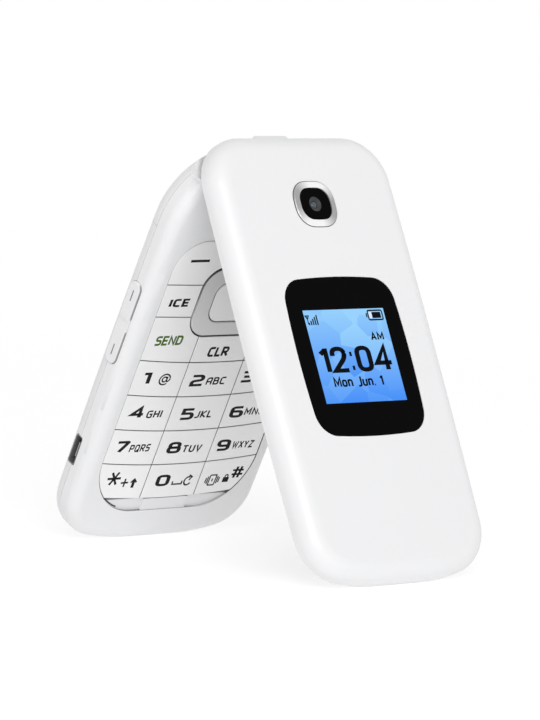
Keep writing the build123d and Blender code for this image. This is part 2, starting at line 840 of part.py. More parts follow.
flex_x = (can_start - knuckle_half + bush_reach) / 2 - snug_gap  # middle of the flex's slot
with BuildPart() as keypad_cover:
    add(base_form.part)
    with Locations((0, 0, seam_level + seam_gap / 2)):
        Box(
            2 * base_width,
            2 * phone_length,
            2 * base_thickness,
            align=(Align.CENTER, Align.CENTER, Align.MAX),
            mode=Mode.SUBTRACT,
        )
    add(base_room.part, mode=Mode.SUBTRACT)
    add(swing_room.part, mode=Mode.SUBTRACT)
    for side in (-1, 1):
        with BuildSketch(Plane.YZ.offset(side * knuckle_half)):
            Circle(knuckle_radius + running_gap + snug_gap)
        extrude(amount=side * (side_end + flex_reach + running_gap - knuckle_half), mode=Mode.SUBTRACT)
    # middle knuckle, with the hinge can's bore on the right and the bush's on the left
    with BuildSketch(Plane.YZ.offset(-knuckle_half)):
        Circle(knuckle_radius)
    extrude(amount=2 * knuckle_half)
    with BuildSketch(Plane.YZ.offset(can_start - snug_gap)):
        Circle(can_radius + snug_gap)
    extrude(amount=knuckle_half - can_start + over, mode=Mode.SUBTRACT)
    with BuildSketch(Plane.YZ.offset(-knuckle_half - over)):
        Circle(bush_radius + snug_gap)
    extrude(amount=knuckle_half + over + can_start - can_plate, mode=Mode.SUBTRACT)
    # slot for the flex, from the knuckle to the room behind the keys
    with Locations((flex_x, 0, mat_top)):
        Box(
            flex_width + 2 * running_gap,
            -bulkhead + over,
            3 * flex_thickness,
            align=(Align.CENTER, Align.MAX, Align.CENTER),
            mode=Mode.SUBTRACT,
        )
    # key opening, and the chin ledge below the keys with its middle tab
    with BuildSketch(Plane.XY.offset(base_front + over)):
        add(key_area.sketch)
        add(band(-outer, outer, "star", None), mode=Mode.SUBTRACT)
    extrude(amount=-front_wall - 2 * over, mode=Mode.SUBTRACT)
    with BuildSketch(Plane.XY.offset(base_front + over)):
        add(key_area.sketch)
        add(band(-outer, outer, "star", None), mode=Mode.INTERSECT)
        with Locations((0, key_area_bottom)):
            Rectangle(2 * chin_tab_half, 4 * chin_height, mode=Mode.SUBTRACT)
    extrude(amount=-over - chin_depth, mode=Mode.SUBTRACT)
    with BuildSketch(Plane.XY.offset(base_front + over)):
        add(key_area.sketch)
        add(band(-chin_tab_half, chin_tab_half, "star", None), mode=Mode.INTERSECT)
    extrude(amount=-over - chin_tab_depth, mode=Mode.SUBTRACT)
    # screw bosses down to the board
    with BuildSketch(Plane.XY.offset(base_board_top)):
        with Locations(*base_screw_spots):
            Circle(boss_radius)
    extrude(amount=plunger_room + front_wall / 4)
    with BuildSketch(Plane.XY.offset(base_board_top)):
        with Locations(*base_screw_spots):
            Circle(screw_radius + snug_gap)
    extrude(amount=plunger_room + front_wall / 4, mode=Mode.SUBTRACT)
    with BuildSketch(Plane.XY.offset(base_front + over)):
        with Locations(mic_spot):
            Circle(mic_hole)
    extrude(amount=-front_wall - 2 * over, mode=Mode.SUBTRACT)
    add(rocker_hole, mode=Mode.SUBTRACT)
    add(usb_hole, mode=Mode.SUBTRACT)
    add(jack_hole.part, mode=Mode.SUBTRACT)
keep(keypad_cover, "keypad_cover", base_seat)

with BuildPart() as back_form:
    add(base_form.part)
    with Locations((0, 0, seam_level - seam_gap / 2)):
        Box(
            2 * base_width,
            2 * phone_length,
            2 * base_thickness,
            align=(Align.CENTER, Align.CENTER, Align.MIN),
            mode=Mode.SUBTRACT,
        )
    add(base_room.part, mode=Mode.SUBTRACT)
    add(swing_room.part, mode=Mode.SUBTRACT)
    add(jack_hole.part, mode=Mode.SUBTRACT)

hump_back = base_back + hump_lift
battery_length = battery_top_end - battery_low_end
battery_y = (battery_top_end + battery_low_end) / 2
well_side = well_gap + well_wall
with BuildPart() as rear_housing:
    add(back_form.part)
    with Locations((0, cover_end, 0)):
        Box(
            2 * base_width,
            2 * phone_length,
            4 * base_thickness,
            align=(Align.CENTER, Align.MAX, Align.CENTER),
            mode=Mode.SUBTRACT,
        )
    # small raised middle of the hinge end
    with BuildSketch(Plane.XY.offset(hump_back)):
        with BuildLine():
            Polyline(
                (-hump_half, base_end - hump_root),
                (hump_half, base_end - hump_root),
                (hump_half - hump_slope, base_end + hump_rise),
                (hump_slope - hump_half, base_end + hump_rise),
                close=True,
            )
        make_face()
    extrude(amount=hump_thickness)
    add(swing_room.part, mode=Mode.SUBTRACT)
    # tray under the board: a wall down from the bulkhead, a floor, and the battery's well
    with Locations((0, bulkhead, tray_top)):
        Box(2 * tray_half, well_wall, tray_top - room_back, align=(Align.CENTER, Align.MAX, Align.MAX))
    with Locations((0, bulkhead, tray_top)):
        Box(2 * tray_half, bulkhead - tray_end, tray_thickness, align=(Align.CENTER, Align.MAX, Align.MAX))
    with BuildSketch(Plane.XY.offset(tray_floor)):
        with Locations((0, battery_y)):
            Rectangle(2 * (battery_half + well_side), battery_length + 2 * well_side)
            Rectangle(2 * (battery_half + well_gap), battery_length + 2 * well_gap, mode=Mode.SUBTRACT)
    extrude(amount=room_back + 2 * battery_gap - tray_floor)
    with BuildSketch(Plane.XY.offset(tray_floor)):
        with Locations(*base_screw_spots):
            Circle(boss_radius)
    extrude(amount=board_floor - tray_floor)
    with BuildSketch(Plane.XY.offset(board_floor)):
        with Locations(*base_screw_spots):
            Circle(screw_clearance)
    extrude(amount=room_back - board_floor, mode=Mode.SUBTRACT)
    # room for the headset jack
    with Locations((side_wall_x - jack_depth - over, jack_y, tray_top)):
        Box(
            2 * jack_depth,
            2 * (jack_radius + 2 * running_gap),
            3 * tray_thickness,
            align=(Align.MIN, Align.CENTER, Align.CENTER),
            mode=Mode.SUBTRACT,
        )
keep(rear_housing, "rear_housing", base_seat)

speaker_spot = (speaker_x, speaker_y)
with BuildPart() as battery_cover:
    add(back_form.part)
    with Locations((0, cover_end - seam_gap, 0)):
        Box(
            2 * base_width,
            2 * phone_length,
            4 * base_thickness,
            align=(Align.CENTER, Align.MIN, Align.CENTER),
            mode=Mode.SUBTRACT,
        )
    add(rocker_hole, mode=Mode.SUBTRACT)
    add(usb_hole, mode=Mode.SUBTRACT)
    with BuildSketch(Plane.XY.offset(base_back - over)):
        with Locations(speaker_spot):
            with GridLocations(0, speaker_pitch, 1, speaker_slots):
                SlotOverall(speaker_slot_length, speaker_slot_width)
    extrude(amount=back_wall + 2 * over, mode=Mode.SUBTRACT)
    # finger notch in the middle of the cover's top edge
    with BuildSketch(Plane.XY.offset(base_back - over)):
        with Locations((0, cover_end + notch_radius / 3)):
            Circle(notch_radius)
    extrude(amount=over + notch_depth, mode=Mode.SUBTRACT)
keep(battery_cover, "battery_cover", base_seat)

# ================= base: keys =================


def make_key(face, centre, radius):
    """A flat key cap with the plunger that presses its dome."""
    with BuildPart() as key:
        with BuildSketch(Plane.XY.offset(cap_bottom)):
            add(face)
        extrude(amount=cap_thickness)
        chamfer(key.faces().sort_by(Axis.Z)[-1].edges(), key_chamfer)
        with BuildSketch(Plane.XY.offset(plunger_bottom)):
            with Locations(centre):
                Circle(radius)
        extrude(amount=cap_bottom - plunger_bottom)
    return key


for name, face in key_faces.items():
    centre = key_centres[name]
    keep(make_key(face, (centre.X, centre.Y), plunger_radius), name, base_seat)

with BuildPart() as nav_ring:
    with BuildSketch(Plane.XY.offset(cap_bottom)):
        with Locations((0, nav_y)):
            RectangleRounded(nav_width, nav_height, nav_corner)
        with Locations((0, ok_y)):
            RectangleRounded(
                ok_width + 2 * key_gap, ok_height + 2 * key_gap, ok_corner + key_gap, mode=Mode.SUBTRACT
            )
    extrude(amount=cap_thickness + nav_proud)
    chamfer(nav_ring.faces().sort_by(Axis.Z)[-1].outer_wire().edges(), nav_chamfer)
    chamfer(nav_ring.faces().sort_by(Axis.Z)[-1].inner_wires()[0].edges(), 2 * key_chamfer)
    with BuildSketch(Plane.XY.offset(plunger_bottom)):
        with Locations(*nav_plungers):
            Circle(nav_plunger_radius)
    extrude(amount=cap_bottom - plunger_bottom)
keep(nav_ring, "nav_ring", base_seat)

with BuildPart() as ok_key:
    with BuildSketch(Plane.XY.offset(cap_bottom)):
        with Locations(ok_plunger):
            RectangleRounded(ok_width, ok_height, ok_corner)
    extrude(amount=cap_thickness + nav_proud / 2)
    chamfer(ok_key.faces().sort_by(Axis.Z)[-1].edges(), 2 * key_chamfer)
    with BuildSketch(Plane.XY.offset(plunger_bottom)):
        with Locations(ok_plunger):
            Circle(plunger_radius)
    extrude(amount=cap_bottom - plunger_bottom)
keep(ok_key, "ok_key", base_seat)

with BuildPart() as key_mat:
    with BuildSketch(Plane.XY.offset(mat_top - mat_thickness)):
        add(key_area.sketch)
        offset(amount=mat_margin)
        with Locations(*plunger_spots):
            Circle(plunger_radius + running_gap, mode=Mode.SUBTRACT)
    extrude(amount=mat_thickness)
keep(key_mat, "key_mat", base_seat)

with BuildPart() as dome_sheet:
    with BuildSketch(Plane.XY.offset(base_board_top)):
        add(key_area.sketch)
    extrude(amount=dome_sheet_thickness)
    with BuildSketch(Plane.XY.offset(base_board_top + dome_sheet_thickness)):
        with Locations(*plunger_spots):
            Circle(dome_radius)
    extrude(amount=dome_height)
keep(dome_sheet, "dome_sheet", base_seat)

# ================= base: inside =================

notch_length = rocker_length + 2 * (rocker_lip + running_gap)
with BuildPart() as main_board:
    with BuildSketch(Plane.XY.offset(board_floor)):
        add(base_shape(base_wall + board_margin))
        with Locations((0, bulkhead - board_gap)):
            Rectangle(2 * base_width, phone_length, align=(Align.CENTER, Align.MIN), mode=Mode.SUBTRACT)
        with Locations(*base_screw_spots):
            Circle(screw_clearance, mode=Mode.SUBTRACT)
        # cut back beside the volume rocker
        with Locations((-side_wall_x, rocker_y)):
            Rectangle(2 * (rocker_depth + nub_length + 2 * running_gap), notch_length, mode=Mode.SUBTRACT)
    extrude(amount=base_board_thickness)
keep(main_board, "main_board", base_seat)

with BuildPart() as battery:
    with BuildSketch(Plane.XY.offset(battery_front)):
        with Locations((0, battery_y)):
            RectangleRounded(2 * battery_half, battery_length, battery_corner)
    extrude(amount=-battery_thickness)
keep(battery, "battery", base_seat)

with BuildPart() as sim_holders:
    with BuildSketch(Plane.XY.offset(tray_floor)):
        with Locations((0, battery_top_end - card_from_battery)):
            with GridLocations(card_width + card_gap, 0, 2, 1):
                Rectangle(card_width, card_height)
    extrude(amount=-card_thickness)
keep(sim_holders, "sim_holders", base_seat)

with BuildPart() as battery_contacts:
    with Locations((contact_x, battery_top_end + well_gap + well_wall, tray_floor)):
        Box(contact_width, contact_depth, contact_height, align=(Align.CENTER, Align.MIN, Align.MAX))
keep(battery_contacts, "battery_contacts", base_seat)

with BuildPart() as usb_socket:
    with BuildSketch(Plane.YZ.offset(socket_seat - side_wall_x)):
        with Locations((usb_y, usb_level)):
            RectangleRounded(usb_length, usb_height, usb_corner)
    extrude(amount=usb_depth)
    with BuildSketch(Plane.YZ.offset(socket_seat - side_wall_x)):
        with Locations((usb_y, usb_level)):
            mouth = (usb_length - 2 * usb_shell, usb_height - 2 * usb_shell)
            RectangleRounded(*mouth, usb_corner - usb_shell / 2)
    extrude(amount=usb_depth - usb_shell, mode=Mode.SUBTRACT)
    # contact tongue, and the block that carries the shell on the board
    with Locations((socket_seat - side_wall_x + usb_depth, usb_y, usb_level)):
        Box(
            usb_depth - 2 * usb_shell,
            usb_length / 2,
            2 * usb_shell,
            align=(Align.MAX, Align.CENTER, Align.CENTER),
        )
    with Locations((socket_seat - side_wall_x + usb_depth, usb_y, board_floor)):
        Box(
            usb_depth / 2,
            usb_length - 2 * usb_corner,
            board_floor - usb_level - usb_height / 2 + usb_shell / 2,
            align=(Align.MAX, Align.CENTER, Align.MAX),
        )
keep(usb_socket, "usb_socket", base_seat)

with BuildPart() as headset_jack:
    with BuildSketch(Plane.YZ.offset(side_wall_x - jack_depth)):
        with Locations((jack_y, jack_level)):
            Circle(jack_radius)
    extrude(amount=jack_depth - socket_seat)
    with Locations((side_wall_x - jack_depth, jack_y, board_floor)):
        Box(
            jack_depth - 3 * base_wall,
            2 * (jack_radius + running_gap),
            board_floor - jack_level + jack_radius,
            align=(Align.MIN, Align.CENTER, Align.MAX),
        )
    with BuildSketch(Plane.YZ.offset(side_wall_x)):
        with Locations((jack_y, jack_level)):
            Circle(jack_bore)
    extrude(amount=jack_floor - jack_depth, mode=Mode.SUBTRACT)
keep(headset_jack, "headset_jack", base_seat)

# The rocker's nubs press the switch behind it, and its lips keep it in the case.
nub_spots = [rocker_y - nub_offset, rocker_y + nub_offset]
nub_size = (2 * slot_width + snug_gap, 2 * rocker_corner - rocker_proud)
switch_x = rocker_depth + nub_length + running_gap - side_wall_x
with BuildPart() as volume_switch:
    with Locations((switch_x + slot_width, rocker_y, board_floor)):
        Box(
            switch_thickness,
            rocker_length - 2 * waist_length,
            board_floor - rocker_level + rocker_width / 2,
            align=(Align.MIN, Align.CENTER, Align.MAX),
        )
    with Locations(*[(switch_x, y, rocker_level) for y in nub_spots]):
        Box(slot_width, bush_bore, rocker_width / 2, align=(Align.MIN, Align.CENTER, Align.CENTER))
keep(volume_switch, "volume_switch", base_seat)

with BuildPart() as volume_rocker:
    with BuildSketch(Plane.YZ.offset(-side_wall_x - rocker_proud)):
        with Locations((rocker_y, rocker_level)):
            RectangleRounded(rocker_length, rocker_width, rocker_corner)
    extrude(amount=rocker_proud + rocker_depth)
    fillet(volume_rocker.faces().sort_by(Axis.X)[0].edges(), rocker_proud)
    with Locations((-side_wall_x + base_wall + lip_gap, rocker_y, rocker_level)):
        Box(
            rocker_depth - base_wall - lip_gap + snug_gap,
            rocker_length + 2 * rocker_lip,
            rocker_width / 2,
            align=(Align.MIN, Align.CENTER, Align.CENTER),
        )
    with Locations((-side_wall_x - rocker_proud, rocker_y, rocker_level)):
        Box(2 * rocker_waist, waist_length, 2 * rocker_width, mode=Mode.SUBTRACT)
    with Locations(*[(rocker_depth - side_wall_x, y, rocker_level) for y in nub_spots]):
        Box(nub_length, waist_length, rocker_width / 3, align=(Align.MIN, Align.CENTER, Align.CENTER))
keep(volume_rocker, "volume_rocker", base_seat)

speaker_face = room_back + 3 * battery_gap
with BuildPart() as loudspeaker:
    with BuildSketch(Plane.XY.offset(speaker_face)):
        with Locations(speaker_spot):
            Circle(speaker_radius)
    extrude(amount=speaker_height)
    with BuildSketch(Plane.XY.offset(speaker_face + speaker_height)):
        with Locations(speaker_spot):
            Circle(speaker_radius * 2 / 3)
    extrude(amount=tray_floor - speaker_face - speaker_height)
keep(loudspeaker, "loudspeaker", base_seat)

with BuildPart() as vibration_motor:
    with BuildSketch(Plane.XY.offset(tray_floor)):
        with Locations((motor_x, speaker_y)):
            Circle(motor_radius)
    extrude(amount=-motor_height)
keep(vibration_motor, "vibration_motor", base_seat)

with BuildPart() as microphone:
    with BuildSketch(Plane.XY.offset(base_board_top)):
        with Locations(mic_spot):
            Circle(mic_radius)
    extrude(amount=plunger_room)
keep(microphone, "microphone", base_seat)

# The heads lie under the tray, and the shanks end in the keypad cover's bosses.
base_head = tray_floor - head_height - snug_gap
base_screws = make_screws(base_screw_spots, base_head, 1, mat_top - base_head)
keep(base_screws, "base_screws", base_seat)

# ================= hinge =================

can_end = knuckle_half - 2 * snug_gap
can_bore = can_radius - can_wall
with BuildPart() as hinge_can:
    with BuildSketch(Plane.YZ.offset(can_start)):
        Circle(can_radius)
    extrude(amount=can_end - can_start)
    with BuildSketch(Plane.YZ.offset(can_start + can_plate)):
        Circle(can_bore)
    extrude(amount=can_end - can_start - 2 * can_plate, mode=Mode.SUBTRACT)
    with BuildSketch(Plane.YZ.offset(can_end)):
        Circle(shaft_radius + shaft_play)
    extrude(amount=-can_plate - snug_gap, mode=Mode.SUBTRACT)
keep(hinge_can, "hinge_can", base_seat)

# The shaft's cam head and the follower stand face to face, and the spring presses them.
cam_face = can_end - can_plate - running_gap - cam_length
follower_start = cam_face - 2 * snug_gap - cam_length
with BuildPart() as hinge_cam:
    with BuildSketch(Plane.YZ.offset(follower_start)):
        Circle(can_bore - snug_gap)
        Circle(shaft_radius + shaft_play, mode=Mode.SUBTRACT)
    extrude(amount=cam_length)
keep(hinge_cam, "hinge_cam", base_seat)

spring_start = can_start + can_plate + 2 * snug_gap
spring_rise = follower_start - spring_start - 2 * snug_gap - spring_wire
with BuildPart() as hinge_spring:
    with BuildLine() as coil:
        Helix(
            pitch=spring_rise / spring_turns,
            height=spring_rise,
            radius=can_bore - spring_wire / 2 - 3 * snug_gap,
            center=(spring_start + spring_wire / 2, 0, 0),
            direction=(1, 0, 0),
        )
    with BuildSketch(Plane(origin=coil.line @ 0, z_dir=coil.line % 0)):
        Circle(spring_wire / 2)
    sweep(is_frenet=True)
keep(hinge_spring, "hinge_spring", base_seat)

with BuildPart() as hinge_shaft:
    with BuildSketch(Plane.YZ.offset(spring_start + running_gap)):
        Circle(shaft_radius)
    extrude(amount=side_start - spring_start)
    with BuildSketch(Plane.YZ.offset(cam_face)):
        Circle(can_bore - 3 * snug_gap)
    extrude(amount=cam_length)
    with BuildSketch(Plane.YZ.offset(side_start)):
        Circle(cam_radius)
        Rectangle(2 * cam_radius, 2 * cam_radius - drive_flat, mode=Mode.INTERSECT)
    extrude(amount=drive_length)
keep(hinge_shaft, "hinge_shaft", flip_seat)

with BuildPart() as hinge_bush:
    with BuildSketch(Plane.YZ.offset(running_gap - side_end)):
        Circle(bush_radius)
        Circle(bush_bore, mode=Mode.SUBTRACT)
    extrude(amount=side_end - running_gap - knuckle_half + bush_reach)
keep(hinge_bush, "hinge_bush", flip_seat)

# The flex is rolled up inside the bush and loops out of the left knuckle to the flip's board.
flex_end = side_end + flex_reach
roll_radius = bush_bore - flex_thickness
tab_length = 2 * flex_width / 4
with BuildPart() as hinge_flex_flip:
    with BuildSketch(Plane.YZ.offset(-flex_end)):
        Circle(roll_radius)
        Circle(roll_radius - flex_thickness, mode=Mode.SUBTRACT)
    extrude(amount=flex_end - knuckle_half + bush_reach)
    with BuildSketch(Plane.YZ.offset(-flex_end)):
        with BuildLine():
            Polyline(
                (-roll_radius, 0),
                (roll_radius, 0),
                (roll_radius, board_top + flex_thickness),
                (flip_board_edge - tab_length, board_top + flex_thickness),
                (flip_board_edge - tab_length, board_top),
                (-roll_radius, board_top),
                close=True,
            )
        make_face()
    extrude(amount=flex_thickness)
    with Locations((-flex_end, flip_board_edge, board_top)):
        Box(flex_width, tab_length, flex_thickness, align=(Align.MIN, Align.MAX, Align.MIN))
keep(hinge_flex_flip, "hinge_flex_flip", flip_seat)

flex_level = mat_top + flex_thickness / 2
flex_edge = bulkhead - well_wall
with BuildPart() as hinge_flex_base:
    with BuildSketch(Plane.YZ.offset(flex_x - flex_width / 2)):
        with BuildLine():
            Polyline(
                (roll_radius / 2, flex_level),
                (flex_edge, flex_level),
                (flex_edge, base_board_top),
                (flex_edge + flex_thickness, base_board_top),
                (flex_edge + flex_thickness, flex_level - flex_thickness),
                (roll_radius / 2, flex_level - flex_thickness),
                close=True,
            )
        make_face()
    extrude(amount=flex_width)
keep(hinge_flex_base, "hinge_flex_base", base_seat)

# ================= whole phone =================

# The part's own origin is under the middle of its box, on the ground.
boxes = [piece.bounding_box() for piece in pieces.values()]
middle_x = (min(box.min.X for box in boxes) + max(box.max.X for box in boxes)) / 2
middle_y = (min(box.min.Y for box in boxes) + max(box.max.Y for box in boxes)) / 2
ground = min(box.min.Z for box in boxes)
stand = Location((-middle_x, -middle_y, -ground))
for node, piece in pieces.items():
    stood = piece.moved(stand)
    stood.label = node
    export_step(stood, f"parts/{node}.step")
print(len(pieces), "pieces; hinge axis at", stand.position)
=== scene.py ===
import bpy, bmesh, json
from math import cos, pi, radians, sin
from mathutils import Matrix, Vector


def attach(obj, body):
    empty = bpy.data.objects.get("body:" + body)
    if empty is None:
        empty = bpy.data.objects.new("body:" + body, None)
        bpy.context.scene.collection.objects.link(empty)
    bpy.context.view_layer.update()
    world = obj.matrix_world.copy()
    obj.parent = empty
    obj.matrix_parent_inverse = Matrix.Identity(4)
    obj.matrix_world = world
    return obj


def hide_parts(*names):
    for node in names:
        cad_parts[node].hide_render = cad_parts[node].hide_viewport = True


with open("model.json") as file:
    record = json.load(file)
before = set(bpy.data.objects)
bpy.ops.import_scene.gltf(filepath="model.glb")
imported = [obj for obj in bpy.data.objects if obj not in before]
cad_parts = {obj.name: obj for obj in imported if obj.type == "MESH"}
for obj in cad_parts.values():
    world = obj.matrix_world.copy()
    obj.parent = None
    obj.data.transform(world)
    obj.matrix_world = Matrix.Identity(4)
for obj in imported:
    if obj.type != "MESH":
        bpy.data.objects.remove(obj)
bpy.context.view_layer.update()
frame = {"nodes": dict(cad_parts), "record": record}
nodes = frame["nodes"]
print("frame loaded:", len(nodes), "CAD nodes")

mm = 0.001
white = (1, 1, 1, 1)
restAngle = 50.5  # between the two halves, in degrees
lean = radians(restAngle / 2)  # each half leans this much from upright
hingeInset = 6.7  # hinge axis from the hinge end of both halves, in mm
flipFace = 6.1  # outer face of the flip above the hinge axis
keyTop = 0.25  # key tops above the hinge axis
sideWall = 26.65  # side of the base from its middle
cameraFromEnd = 16.2  # middle of the camera from the flip's hinge end

# Each half has its own axes from the hinge: x across, y up to the hinge end, z out of the face.
hingeJoint = next(j for j in frame["record"]["behaviour"]["joints"] if j["name"] == "flip_hinge")
hinge = Vector(hingeJoint["pos_m"])
flipSeat = Matrix.Translation(hinge) @ Matrix((
    (1, 0, 0, 0), (0, sin(lean), -cos(lean), 0), (0, cos(lean), sin(lean), 0), (0, 0, 0, 1)))
baseSeat = Matrix.Translation(hinge) @ Matrix((
    (1, 0, 0, 0), (0, -sin(lean), -cos(lean), 0), (0, cos(lean), -sin(lean), 0), (0, 0, 0, 1)))


# Places along a half are given in mm from its hinge end.
def up(fromEnd):
    return hingeInset - fromEnd


# The material, its node tree and its main shader.
def newMaterial(name, colour, rough=0.4, metal=0.0, specular=0.5, coat=0.0, coatRough=0.06):
    mat = bpy.data.materials.new(name)
    mat.use_nodes = True
    tree = mat.node_tree
    shader = next(n for n in tree.nodes if n.type == "BSDF_PRINCIPLED")
    shader.inputs["Base Color"].default_value = (*colour, 1)
    shader.inputs["Roughness"].default_value = rough
    shader.inputs["Metallic"].default_value = metal
    shader.inputs["Specular IOR Level"].default_value = specular
    shader.inputs["Coat Weight"].default_value = coat
    shader.inputs["Coat Roughness"].default_value = coatRough
    return mat, tree, shader


# Inputs may be plain values or the outputs of other nodes.
def addNode(tree, kind, inputs=(), **settings):
    node = tree.nodes.new(kind)
    for key, value in settings.items():
        setattr(node, key, value)
    for key, value in dict(inputs).items():
        if hasattr(value, "links"):
            tree.links.new(value, node.inputs[key])
        else:
            node.inputs[key].default_value = value
    return node


# One step of arithmetic on a material's values.
def maths(tree, operation, a, b=0.0, clamp=False):
    return addNode(tree, "ShaderNodeMath", {0: a, 1: b}, operation=operation, use_clamp=clamp).outputs[0]


# Moves a value from one range into another, clamped at its ends.
def spread(tree, value, fromMin, fromMax, toMin=0.0, toMax=1.0):
    inputs = {"Value": value, "From Min": fromMin, "From Max": fromMax, "To Min": toMin, "To Max": toMax}
    return addNode(tree, "ShaderNodeMapRange", inputs).outputs["Result"]


# The first colour at share 0, the second at 1.
def blendColours(tree, share, first, second):
    mix = addNode(tree, "ShaderNodeMix", data_type="RGBA")
    for socket, value in zip((mix.inputs[0], mix.inputs[6], mix.inputs[7]), (share, first, second)):
        if hasattr(value, "links"):
            tree.links.new(value, socket)
        elif isinstance(value, (int, float)):
            socket.default_value = value
        else:
            socket.default_value = (*value, 1)
    return mix.outputs[2]


# Where a point of a half lies in that half's own axes, in mm.
def seatPlace(tree, seat):
    place = addNode(tree, "ShaderNodeTexCoord").outputs["Object"]
    turn = seat.inverted()
    parts = []
    for row in range(3):
        inputs = {0: place, 1: tuple(turn[row][:3])}
        dot = addNode(tree, "ShaderNodeVectorMath", inputs, operation="DOT_PRODUCT")
        parts.append(maths(tree, "MULTIPLY_ADD", dot.outputs["Value"], 1 / mm))
        parts[-1].node.inputs[2].default_value = turn[row][3] / mm
    return parts


# 1 inside a rectangle of a half's own axes, 0 outside, with a soft edge.
def patch(tree, across, along, x, fromEnd, width, height, edge=0.03):
    inX = maths(tree, "ABSOLUTE", maths(tree, "SUBTRACT", across, x))
    inY = maths(tree, "ABSOLUTE", maths(tree, "SUBTRACT", along, up(fromEnd)))
    sideX = spread(tree, inX, width / 2 + edge, width / 2 - edge)
    sideY = spread(tree, inY, height / 2 + edge, height / 2 - edge)
    return maths(tree, "MULTIPLY", sideX, sideY)


# Moulding grain: a slight mottle in the colour, the gloss and the surface.
def grain(tree, shader, look):
    place = addNode(tree, "ShaderNodeTexCoord").outputs["Object"]
    fine = addNode(tree, "ShaderNodeTexNoise", {"Vector": place, "Scale": look["grain"], "Detail": 3.0})
    broad = addNode(tree, "ShaderNodeTexNoise", {"Vector": place, "Scale": 60, "Detail": 2.0})
    rough = spread(tree, broad.outputs["Fac"], 0.2, 0.8, *look["gloss"])
    bump = addNode(tree, "ShaderNodeBump", {
        "Height": fine.outputs["Fac"], "Strength": look["relief"], "Distance": 0.05 * mm})
    tree.links.new(rough, shader.inputs["Roughness"])
    tree.links.new(bump.outputs["Normal"], shader.inputs["Normal"])
    if "second" in look:
        mottle = spread(tree, broad.outputs["Fac"], 0.2, 0.8)
        colour = blendColours(tree, mottle, look["colour"], look["second"])
        tree.links.new(colour, shader.inputs["Base Color"])


# A grained finish, left open so that more can be painted on it.
def openFinish(name, look):
    mat, tree, shader = newMaterial(
        name, look["colour"], look["gloss"][0], look.get("metal", 0), look.get("specular", 0.5),
        look.get("coat", 0), look.get("coatRough", 0.06))
    grain(tree, shader, look)
    return mat, tree, shader


def plainFinish(name, look):
    return openFinish(name, look)[0]


def dress(mat, *names):
    for name in names:
        slots = nodes[name].data.materials
        slots.clear()
        slots.append(mat)


# Finishes: gloss is the roughness from its low to its high, grain its cells per metre.
casePlastic = {
    "colour": (0.85, 0.852, 0.862), "gloss": (0.3, 0.38), "grain": 1400, "relief": 0.05,
    "coat": 0.08, "coatRough": 0.15, "specular": 0.4}
keyPlastic = {
    "colour": (0.96, 0.96, 0.962), "second": (0.945, 0.945, 0.948), "gloss": (0.42, 0.5), "grain": 2600,
    "relief": 0.12}
rubber = {
    "colour": (0.72, 0.72, 0.73), "second": (0.68, 0.68, 0.69), "gloss": (0.55, 0.7), "grain": 1800,
    "relief": 0.2}
blackPlastic = {
    "colour": (0.02, 0.02, 0.022), "second": (0.028, 0.028, 0.03), "gloss": (0.4, 0.55), "grain": 1500,
    "relief": 0.2}
steel = {
    "colour": (0.55, 0.56, 0.58), "second": (0.47, 0.48, 0.5), "gloss": (0.22, 0.36), "grain": 3000,
    "relief": 0.15, "metal": 1.0}
springSteel = {
    "colour": (0.42, 0.42, 0.44), "second": (0.5, 0.5, 0.52), "gloss": (0.2, 0.3), "grain": 2500,
    "relief": 0.1, "metal": 1.0}
nylon = {
    "colour": (0.70, 0.69, 0.66), "second": (0.66, 0.65, 0.62), "gloss": (0.45, 0.6), "grain": 1200,
    "relief": 0.15}
filmAmber = {
    "colour": (0.42, 0.2, 0.04), "second": (0.36, 0.17, 0.035), "gloss": (0.25, 0.35), "grain": 1500,
    "relief": 0.05}

# The sides of the keys and the walls round them lie in shade, so they are painted darker. It starts
# below the key tops and is full after the fade.
shaded = {"side": (0.2, 0.2, 0.205), "below": 0.1, "fade": 0.03}


def makeKeyFinish():
    mat, tree, shader = openFinish("satin key plastic", keyPlastic)
    face = shader.inputs["Base Color"].links[0].from_socket
    out = seatPlace(tree, baseSeat)[2]
    start = keyTop - shaded["below"]
    low = spread(tree, out, start, start - shaded["fade"])
    tree.links.new(blendColours(tree, low, face, shaded["side"]), shader.inputs["Base Color"])
    return mat


# The walls of the room the flip swings in get a painted glow, a faint white light that lifts their shade,
# from this far out on both sides.
swingRoom = {"radius": 7.7, "glow": 0.3, "from": 14.0}


def paintSwingRoomGlow(tree, shader):
    across, along, out = seatPlace(tree, baseSeat)
    squares = [maths(tree, "MULTIPLY", part, part) for part in (along, out)]
    reach = maths(tree, "SQRT", maths(tree, "ADD", *squares))
    near = spread(tree, reach, swingRoom["radius"] + 0.1, swingRoom["radius"])
    facing = addNode(tree, "ShaderNodeTexCoord").outputs["Normal"]
    sideways = addNode(tree, "ShaderNodeSeparateXYZ", {0: facing}).outputs[0]
    inward = spread(tree, maths(tree, "MULTIPLY", sideways, maths(tree, "SIGN", across)), -0.1, -0.25)
    outer = spread(tree, maths(tree, "ABSOLUTE", across), swingRoom["from"], swingRoom["from"] + 1)
    near = maths(tree, "MULTIPLY", near, outer)
    # Painted glow: these walls give off a faint white light where they would lie in shade.
    strength = maths(tree, "MULTIPLY", maths(tree, "MULTIPLY", near, inward), swingRoom["glow"])
    tree.links.new(strength, shader.inputs["Emission Strength"])
    shader.inputs["Emission Color"].default_value = white


def makeRearHousing():
    mat, tree, shader = openFinish("white rear housing", casePlastic)
    paintSwingRoomGlow(tree, shader)
    return mat
